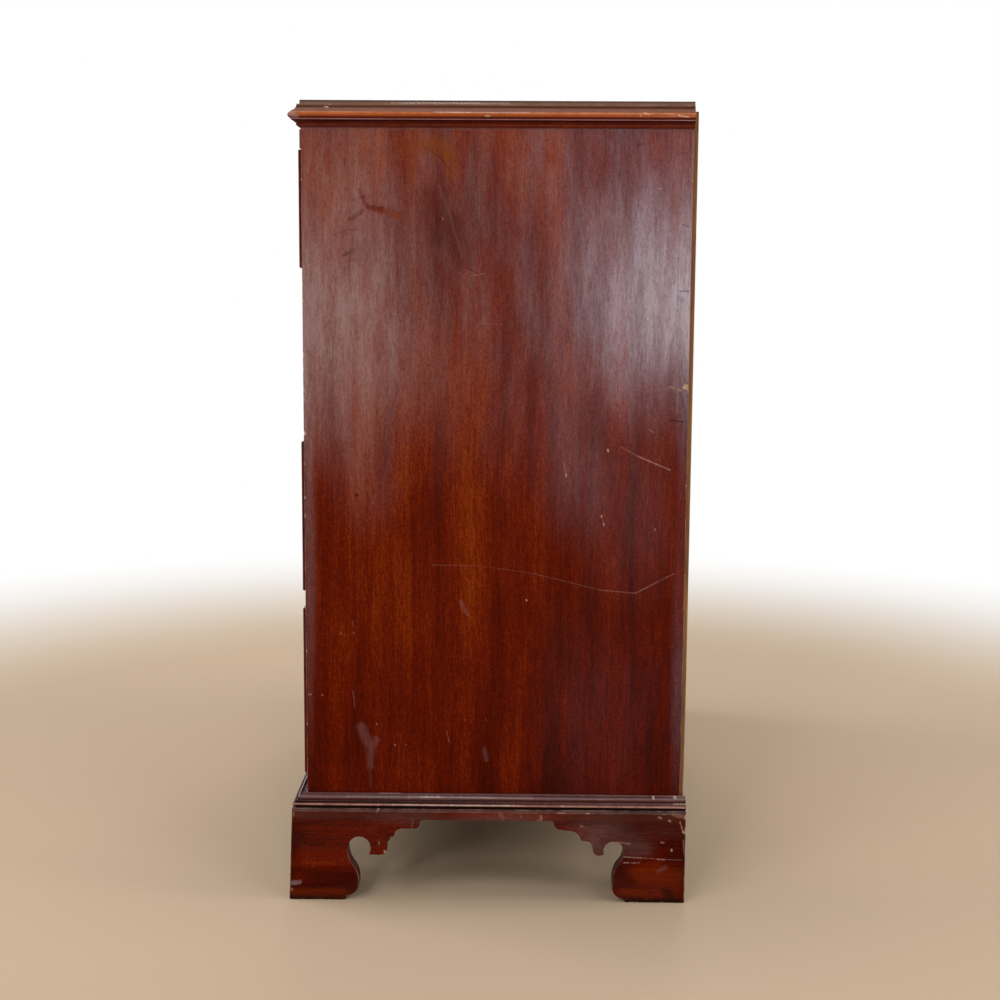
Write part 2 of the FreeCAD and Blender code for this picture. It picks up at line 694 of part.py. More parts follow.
# keyholes as (head radius, half width of the foot, foot below the head's middle)
thread_outside = (5.5, 3.2, 15)
thread_inside = (3.6, 1.7, 13)
key_way = (2.6, 1.1, 9)


def tails(low, high, base, end):
    """Dovetails between two heights, as (y, z) corner lists from the shoulder line to the tips."""
    count = max(2, round((high - low) / tail_pitch))
    pitch = (high - low) / count
    tip = pitch / 2 - pin_width / 2
    root = tip - abs(end - base) / tail_slope
    shapes = []
    for index in range(count):
        middle = low + (index + 0.5) * pitch
        shapes.append([(base, middle - root), (end, middle - tip), (end, middle + tip),
                       (base, middle + root)])
    return shapes


def closed(corners):
    return corners + [corners[0]]


def keyhole(radius, half_foot, drop, height):
    """Round head over a straight-sided tail."""
    side = math.sqrt(radius ** 2 - half_foot ** 2)
    return [(-half_foot, height - drop), (half_foot, height - drop), (half_foot, height - side),
            (0, height + radius, -half_foot, height - side), (-half_foot, height - drop)]


def cockbead(label, length, depth, centre, turn):
    """Strip with a rounded nose and mitred ends, its inner edge upwards before it is turned."""
    thick, proud = mm("bead_thick"), mm("bead_proud")
    nose = thick / 2
    body = newBody(label)
    prism(body, label + "_pad", "YZ_Plane", -length / 2, length,
          [[(depth, 0), (depth, thick), (nose - proud, thick), (-proud, nose, nose - proud, 0), (depth, 0)]])
    waste = [(length / 2, 0), (length / 2, thick), (length / 2 - thick, thick), (length / 2, 0)]
    twin = [(-x, z) for x, z in waste]
    spare = 1
    pocket(body, label + "_mitres", "XZ_Plane", -proud - spare, depth + proud + 2 * spare, [waste, twin])
    body.Placement = FreeCAD.Placement(V(*centre), FreeCAD.Rotation(V(0, 1, 0), turn))
    return body


def drawer(number):
    """One drawer: dovetailed oak box, cockbeaded front, lock, handle posts and two bails."""
    name = f"drawer_{number}"
    face_text = drawerFace(number)
    low_text = f"({floors[number]} + running_gap)"
    face, low, high = mm(face_text), mm(low_text), mm(f"{floors[number]} + opening_{number} - running_gap")
    half, lining, bead = mm(half_drawer), mm("lining"), mm("bead_thick")
    rebate_depth, full_depth = mm("bead_rebate"), mm("front_thick")
    rear, inner = face + full_depth, half - lining
    end = mm("drawer_end")
    side_top = high - bead - side_drop
    groove_low = low + bottom_rise
    groove_high = groove_low + mm("drawer_bottom")
    back_top = side_top - back_drop
    groove_front = rear - groove_depth
    front_tails = tails(low, side_top, rear, rear - tail_length)
    back_tails = tails(groove_high, back_top, end - lining, end)
    key_height = high - bead - lock_height / 2 + key_rise
    pivot_height = (low + high) / 2 + mm("pivot_rise")
    post_places = [way * mm("handle_x") + side * mm("post_half") for way in (-1, 1) for side in (-1, 1)]

    front = newBody(f"{name}_front")
    prism(front, f"{name}_front_rear", "XZ_Plane", f"{face_text} + bead_rebate", "front_thick - bead_rebate",
          [rectangle(-half, low, half, high - bead)])
    prism(front, f"{name}_front_face", "XZ_Plane", face_text, "front_thick",
          [rectangle(bead - half, low + bead, half - bead, high - bead)])
    for way, edge in (("left", f"-{half_drawer}"), ("right", f"{half_drawer} - lining")):
        pocket(front, f"{name}_front_tails_{way}", "YZ_Plane", edge, "lining",
               [closed(tail) for tail in front_tails])
    pocket(front, f"{name}_front_groove", "YZ_Plane", -inner - groove_depth, 2 * (inner + groove_depth),
           [rectangle(groove_front, groove_low, rear, groove_high)])
    pocket(front, f"{name}_post_holes", "XZ_Plane", face_text, "front_thick",
           [[(x, pivot_height, shank_radius + shank_hole)] for x in post_places])
    pocket(front, f"{name}_lock_mortise", "XZ_Plane", f"{face_text} + front_thick - {lock_depth}", lock_depth,
           [rectangle(-lock_half, high - bead - lock_height, lock_half, high - bead)])
    pocket(front, f"{name}_keyhole", "XZ_Plane", face_text, f"front_thick - {lock_depth}",
           [keyhole(*thread_outside, key_height)])

    side = newBody(f"{name}_side_left")
    outline = [(rear, low)]
    for tail in front_tails:
        outline += tail
    outline += [(rear, side_top), (end, side_top), (end, back_top), (end - lining, back_top)]
    for tail in reversed(back_tails):
        outline += reversed(tail)
    outline += [(end - lining, groove_high), (end, groove_high), (end, low), (rear, low)]
    prism(side, f"{name}_side_pad", "YZ_Plane", f"-{half_drawer}", "lining", [outline])
    pocket(side, f"{name}_side_groove", "YZ_Plane", -inner - groove_depth, groove_depth,
           [rectangle(groove_front, groove_low, end, groove_high)])
    sides = group(f"{name}_sides", [side, mirrored(f"{name}_side_right", side)])

    back = newBody(f"{name}_back")
    prism(back, f"{name}_back_pad", "XZ_Plane", "drawer_end - lining", "lining",
          [rectangle(-half, groove_high, half, back_top)])
    for way, edge in (("left", f"-{half_drawer}"), ("right", f"{half_drawer} - lining")):
        pocket(back, f"{name}_back_tails_{way}", "YZ_Plane", edge, "lining",
               [closed(tail) for tail in back_tails])

    bottom = board(f"{name}_bottom",
                   (-inner - groove_depth, groove_front, f"{low_text} + {bottom_rise}"),
                   (2 * (inner + groove_depth), f"drawer_end - {groove_front}", "drawer_bottom"))

    middle, rise = (low + high) / 2, high - low
    beads = [cockbead(f"{name}_bead_bottom", 2 * half, rebate_depth, (0, face, low), 0),
             cockbead(f"{name}_bead_top", 2 * half, full_depth, (0, face, high), 180),
             cockbead(f"{name}_bead_right", rise, rebate_depth, (half, face, middle), -90),
             cockbead(f"{name}_bead_left", rise, rebate_depth, (-half, face, middle), 90)]
    cockbeads = group(f"{name}_cockbeads", beads)

    case = newBody(f"{name}_lock_case")
    prism(case, f"{name}_lock_pad", "XZ_Plane", f"{face_text} + front_thick - {lock_depth}", lock_depth,
          [rectangle(-lock_half, high - bead - lock_height, lock_half, high - bead)])
    pocket(case, f"{name}_lock_keyway", "XZ_Plane", f"{face_text} + front_thick - {lock_depth}",
           lock_depth - lock_plate, [keyhole(*key_way, key_height)])
    thread = newBody(f"{name}_key_thread")
    prism(thread, f"{name}_thread_pad", "XZ_Plane", face_text, thread_depth,
          [keyhole(*thread_outside, key_height)])
    pocket(thread, f"{name}_thread_hole", "XZ_Plane", face_text, thread_depth,
           [keyhole(*thread_inside, key_height)])
    lock = group(f"{name}_lock", [case, thread])

    fittings = []
    for index, x in enumerate(post_places, start=1):
        for kind, master in (("post", post), ("rose", rose), ("nut", nut)):
            fittings.append(copyAt(f"{name}_{kind}_{index}", master, (x, face, pivot_height)))
    posts = group(f"{name}_posts", fittings)

    bails = [swingBail(f"{name}_bail_{way}", (f"{sign} * handle_x", f"{face_text} - pivot_out", pivot_height))
             for way, sign in (("left", -1), ("right", 1))]
    return [front, sides, back, bottom, cockbeads, lock, posts] + bails


for number in (1, 2, 3, 4):
    nodes += drawer(number)

# ---------------------------------------------------------------- check and write

doc.recompute()
for thing in doc.Objects:
    if "Invalid" in thing.State or "Error" in thing.State:
        raise RuntimeError(f"{thing.Label} failed: {thing.State}")
    if thing.TypeId == "PartDesign::Pocket" and thing.Shape.Volume > thing.BaseFeature.Shape.Volume - 0.1:
        raise RuntimeError(f"{thing.Label} cuts nothing")
for node in nodes:
    shape = node.Shape
    if shape.isNull() or not shape.isValid():
        raise RuntimeError(f"{node.Label} has no sound shape")
    shape.exportStep(f"parts/{node.Label}.step")
print(len(nodes), "sub-parts written")
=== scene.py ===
import json
import math
import random
from functools import reduce

import bmesh
import bpy
from mathutils import Matrix, Vector

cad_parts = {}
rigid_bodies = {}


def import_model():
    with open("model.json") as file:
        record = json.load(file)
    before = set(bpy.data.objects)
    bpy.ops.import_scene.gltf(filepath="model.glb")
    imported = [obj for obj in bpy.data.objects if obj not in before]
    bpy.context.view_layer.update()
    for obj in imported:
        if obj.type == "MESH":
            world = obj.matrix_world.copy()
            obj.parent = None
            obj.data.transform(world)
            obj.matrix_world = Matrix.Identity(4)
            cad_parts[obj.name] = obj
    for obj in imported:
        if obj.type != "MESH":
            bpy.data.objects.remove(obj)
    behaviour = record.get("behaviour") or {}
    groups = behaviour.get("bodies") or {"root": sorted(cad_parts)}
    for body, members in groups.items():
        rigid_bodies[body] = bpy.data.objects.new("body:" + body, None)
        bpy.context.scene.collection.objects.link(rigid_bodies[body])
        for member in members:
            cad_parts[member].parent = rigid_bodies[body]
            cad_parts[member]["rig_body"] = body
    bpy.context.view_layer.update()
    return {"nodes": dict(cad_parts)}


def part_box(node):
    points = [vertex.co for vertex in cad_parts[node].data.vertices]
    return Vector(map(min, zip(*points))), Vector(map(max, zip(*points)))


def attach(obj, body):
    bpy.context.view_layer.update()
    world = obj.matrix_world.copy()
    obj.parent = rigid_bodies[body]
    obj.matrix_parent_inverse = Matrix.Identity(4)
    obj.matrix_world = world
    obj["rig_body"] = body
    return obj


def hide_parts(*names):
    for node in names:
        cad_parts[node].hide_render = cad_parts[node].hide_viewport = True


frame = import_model()
nodes = frame["nodes"]
scene = bpy.context.scene
print("frame loaded:", len(nodes), "nodes")

lens = {
    "place": (2.0402, 0.0300, 0.6597),
    "yaw": -0.598,  # degrees
    "pitch": 7.768,
    "roll": 0.345,
    "focal": 57.6,  # mm
}


def putCamera(spec):
    yaw, pitch, roll = (math.radians(spec[key]) for key in ("yaw", "pitch", "roll"))
    ahead = Vector((-math.cos(pitch) * math.cos(yaw), math.cos(pitch) * math.sin(yaw), -math.sin(pitch)))
    level = ahead.cross(Vector((0, 0, 1))).normalized()
    over = level.cross(ahead)
    right = math.cos(roll) * level + math.sin(roll) * over
    up = -math.sin(roll) * level + math.cos(roll) * over
    data = bpy.data.cameras.new("sideView")
    data.lens = spec["focal"]
    data.sensor_width = 36
    camera = bpy.data.objects.new("sideView", data)
    camera.matrix_world = Matrix((right, up, -ahead)).transposed().to_4x4()
    camera.location = spec["place"]
    scene.collection.objects.link(camera)
    scene.camera = camera


putCamera(lens)


class Wire:  # a socket that takes part in sums
    def __init__(self, tree, socket=None):
        self.tree = tree
        self.socket = socket

    def node(self, kind, settings=None, inputs=None, output=0):
        made = self.tree.nodes.new("ShaderNode" + kind)
        for name, value in (settings or {}).items():
            if name == "stops":
                stops = made.color_ramp.elements
                stops[0].position, stops[0].color = value[0]
                stops[1].position, stops[1].color = value[-1]
                for place, colour in value[1:-1]:
                    stops.new(place).color = colour
            else:
                setattr(made, name, value)
        for name, value in (inputs or {}).items():
            if isinstance(value, Wire):
                self.tree.links.new(value.socket, made.inputs[name])
            else:
                made.inputs[name].default_value = value
        return Wire(self.tree, made.outputs[output])

    def math(self, operation, *values):
        return self.node("Math", {"operation": operation}, dict(enumerate(values)))

    def __add__(self, other):
        return self.math("ADD", self, other)

    def __radd__(self, other):
        return self.math("ADD", other, self)

    def __sub__(self, other):
        return self.math("SUBTRACT", self, other)

    def __rsub__(self, other):
        return self.math("SUBTRACT", other, self)

    def __mul__(self, other):
        return self.math("MULTIPLY", self, other)

    def __rmul__(self, other):
        return self.math("MULTIPLY", other, self)

    def over(self, low, high):  # 0 below low, 1 above high
        return self.node("MapRange", {"interpolation_type": "SMOOTHSTEP"},
                         {"Value": self, "From Min": low, "From Max": high}, "Result")

    def kept(self, most=1.0):  # held between 0 and most
        return self.node("Clamp", None, {"Value": self, "Max": most})

    def most(self, other):
        return self.math("MAXIMUM", self, other)

    def axis(self, name):
        return self.node("SeparateXYZ", None, {"Vector": self}, name)

    def noise(self, scale, detail=2.0, roughness=0.5, distortion=0.0, output="Fac"):
        return self.node("TexNoise", None, {"Vector": self, "Scale": scale, "Detail": detail,
                                            "Roughness": roughness, "Distortion": distortion}, output)

    def drawnOut(self, axis, stretch, scale, *noise, shift=(0, 0, 0)):  # noise drawn out along the grain
        along = tuple(stretch if name == axis else 1.0 for name in "xyz")
        place = self.node("Mapping", None, {"Vector": self, "Scale": along, "Location": shift})
        return place.noise(scale, *noise)

    def vectors(self, operation, inputs, output=0):
        return self.node("VectorMath", {"operation": operation}, inputs, output)

    def stirred(self, amount, scale, detail=1.0, roughness=0.5):  # this place, moved about by noise
        drift = self.noise(scale, detail, roughness, output="Color")
        return self.vectors("MULTIPLY_ADD", {0: drift, 1: (amount,) * 3, 2: self})

    def mix(self, first, second):  # colours, with this socket as the factor
        return self.node("Mix", {"data_type": "RGBA"}, {0: self, 6: first, 7: second}, 2)

    def ramp(self, stops):
        return self.node("ValToRGB", {"stops": [(at, (*colour, 1)) for at, colour in stops]}, {"Fac": self})

    def flat(self, facing):  # the place without its height over a surface that faces along one axis
        return self.vectors("MULTIPLY", {0: self, 1: tuple(float(name != facing) for name in "xyz")})

    def stroke(self, start, end, width, depth):  # a soft line across a flat place
        run = end - start
        away = self.vectors("SUBTRACT", {0: self, 1: start})
        share = self.vectors("DOT_PRODUCT", {0: away, 1: run / run.length_squared}, "Value").kept()
        foot = self.vectors("SCALE", {0: run, "Scale": share})
        gap = self.vectors("DISTANCE", {0: away, 1: foot}, "Value")
        return self.node("MapRange", {"interpolation_type": "SMOOTHSTEP"}, {
            "Value": gap, "From Min": width, "From Max": width * 0.2, "To Max": depth}, "Result")

    def near(self, centre, reach):  # 1 at a centre along Y and Z, 0 beyond its reach
        far = self.vectors("MULTIPLY", {0: self, 1: (0, 1 / reach[0], 1 / reach[1])})
        middle = (0, centre[0] / reach[0], centre[1] / reach[1])
        return self.vectors("DISTANCE", {0: far, 1: middle}, "Value").over(1.0, 0.0)


def material(name, build, **fixed):
    made = bpy.data.materials.new(name)
    made.use_nodes = True
    tree = made.node_tree
    shader = tree.nodes["Principled BSDF"]
    place = Wire(tree).node("TexCoord", None, None, "Object")
    wear = Wire(tree).node("Attribute", {"attribute_name": "wear"}, None, "Fac")
    for socket, value in {**fixed, **build(place, wear)}.items():
        if isinstance(value, Wire):
            tree.links.new(value.socket, shader.inputs[socket])
        else:
            shader.inputs[socket].default_value = value
    return made


mahogany = {
    "dark": (0.036, 0.0026, 0.0005),
    "brown": (0.076, 0.0044, 0.0004),
    "red": (0.110, 0.0072, 0.0005),
    "orange": (0.160, 0.0175, 0.0010),
    "pale": (0.235, 0.0430, 0.0040),
    "amber": (0.205, 0.0480, 0.0020),
    "bloom": (0.300, 0.190, 0.185),  # greyish film on old polish, also the colour of painted sheen
    # scratches, also painted highlight lines
    "scratch": (0.330, 0.165, 0.135),
    "worn": (0.330, 0.165, 0.120),  # arrises rubbed through the polish
    "chip": (0.470, 0.300, 0.215),
    # painted highlight
    "glint": (0.640, 0.540, 0.470),
    # dirt, also painted shade in gaps, creases and hollows
    "dirt": (0.010, 0.004, 0.002),
}
tones = [(0.10, "dark"), (0.34, "brown"), (0.52, "red"), (0.70, "orange"), (0.96, "pale")]
layers = {  # stretch along the grain, scale, then the noise's detail, roughness and distortion
    "broad": (0.130, 17, 2.0, 0.55, 0.60),
    "band": (0.055, 52, 3.0, 0.60, 0.25),
    "fibre": (0.060, 300, 3.0, 0.65),
    "fleck": (0.130, 640, 2.0, 0.60),
    "grit": (0.550, 680, 2.0, 0.70),
    "figure": (0.600, 1, 2.0, 0.50, 0.80),  # times the look's own scale
    "dash": (0.150, 520, 3.0, 0.70),
    "cloud": (0.140, 75, 3.0, 0.60, 0.30),
    "film": (0.250, 24, 3.0, 0.62, 0.40),
}
tornWidth = 0.002  # metres; marks at least as wide have torn edges
torn = {"shift": 0.005, "scale": 150, "detail": 3.0, "roughness": 0.7}


def mahoganyLook(axis, look):
    def layer(name, place, shift=(0, 0, 0), times=1):
        stretch, scale, *noise = layers[name]
        return place.drawnOut(axis, stretch, scale * times, *noise, shift=shift)

    def marked(place, wide):  # the place that marks are drawn on
        if wide:
            place = place.stirred(torn["shift"], torn["scale"], torn["detail"], torn["roughness"])
            place = place.vectors("ADD", {0: place, 1: (-0.5 * torn["shift"],) * 3})
        return place.flat(look["facing"])

    def onFace(point):
        return Vector((0, *point) if look["facing"] == "x" else (*point, 0))

    def build(place, wear):
        height = place.axis("Z")
        patch = place.noise(60, 3.0, 0.6)
        wander = place.stirred(look["wander"], 3.1)
        grain = {name: layer(name, wander, look["shift"], look["stripes"]) for name in ("broad", "band")}
        grain.update({name: layer(name, wander, look["shift"]) for name in ("fibre", "fleck")})
        grain["grit"] = layer("grit", place)
        grain["figure"] = layer("figure", wander, look["shift"], look["figure"])
        tone = 0.47
        for name, wire in grain.items():
            tone = tone + (wire - 0.5) * look[name + "Depth"]
        tone = tone + look["light"]
        for centre, reach, change in look["shade"]:  # painted light and shade, with lighter and darker wood
            tone = tone + place.near(centre, reach) * change
        colour = tone.ramp([(at, mahogany[name]) for at, name in tones])
        fibre, fleck = grain["fibre"], grain["fleck"]
        pore = fleck.over(0.62, 0.74) * fibre.over(0.40, 0.62)
        colour = (pore * 0.40).mix(colour, (*mahogany["dark"], 1))

        cloud = 0.71 + 0.58 * layer("cloud", wander, (0.1, 0.2, 0.9)).over(0.30, 0.70)
        broken = (0.20 + 0.46 * layer("dash", place).over(0.30, 0.72) + 0.98 * grain["grit"]) * cloud
        film = layer("film", wander, (0.4, 0.7, 0.2)).over(0.26, 0.82)
        film = (film * (1 - look["even"]) + look["even"]) * look["bloom"]
        if "clear" in look:  # the film is thin below these heights
            low, high, left = look["clear"]
            film = film * (left + (1 - left) * height.over(low, high))
        for centre, reach, depth in look["haze"]:  # painted sheen: the film is thickest where the polish shows reflections
            film = film + place.near(centre, reach) * depth
        film = (film * broken).kept(0.85)
        filmColour = (*look["filmColour"], 1)
        if "cool" in look:  # the film and its painted sheen turn bluish towards the back
            filmColour = place.axis("Y").over(-0.06, 0.17).mix(filmColour, (*look["cool"], 1))
        colour = film.mix(colour, filmColour)
        rough = look["gloss"] + (fibre - 0.5) * 0.10 + film * 0.12

        for low, high, soft, depth, tint, uneven in look["bands"]:  # heights painted over: worn and filmy strips, painted highlights, and painted shade in hollows and gaps
            zone = height.over(low - soft, low + soft) * height.over(high + soft, high - soft) * depth
            zone = (zone * (1 - uneven + 2 * uneven * patch.over(0.32, 0.68))).kept()
            colour = zone.mix(colour, (*tint, 1))

        if look["marks"]:
            faces = {wide: marked(place, wide) for wide in (True, False)}
            speckle = 0.10 + 1.55 * place.noise(620, 3.0, 0.75).over(0.30, 0.70)
        for kind, wide in [(kind, wide) for kind in mahogany for wide in (True, False)]:
            lines = [faces[wide].stroke(onFace(start), onFace(end), width, depth)
                     for start, end, width, tint, depth in look["marks"]
                     if tint == kind and (width >= tornWidth) == wide]
            if lines:
                drawn = (reduce(Wire.most, lines) * (0.30 + 1.3 * fibre if wide else speckle)).kept()
                colour = drawn.mix(colour, (*mahogany[kind], 1))
                rough = rough + drawn * 0.15

        thin = wear.kept() * (0.25 + patch.over(0.42, 0.62)) * look["wear"]
        colour = thin.mix(colour, (*mahogany["worn"], 1))
        colour = (wear.over(1.2, 1.8) * (0.55 + 0.6 * fleck)).mix(colour, (*mahogany["chip"], 1))
        if "grime" in look:  # darker towards the floor
            low, high = look["grime"]
            soil = (height.over(high, low) * (0.35 + 0.8 * place.noise(90, 4.0, 0.7))).kept(0.85)
            colour = soil.mix(colour, (*mahogany["dirt"], 1))
            rough = rough + soil * 0.3
        relief = fibre * 0.5 + fleck * 0.35 - pore * 0.8 + grain["band"] * 0.3
        bump = place.node("Bump", None, {"Strength": look["relief"], "Distance": 0.0004, "Height": relief})
        return {"Base Color": colour, "Roughness": rough, "Normal": bump,
                "Coat Weight": look["coat"] + film * 0.12}
    return build


woods = {}


def wood(kind, axis):
    key = kind + axis.upper()
    if key not in woods:
        look = looks[kind]
        woods[key] = material(key, look["make"](axis, look), **look["fixed"])
    return woods[key]


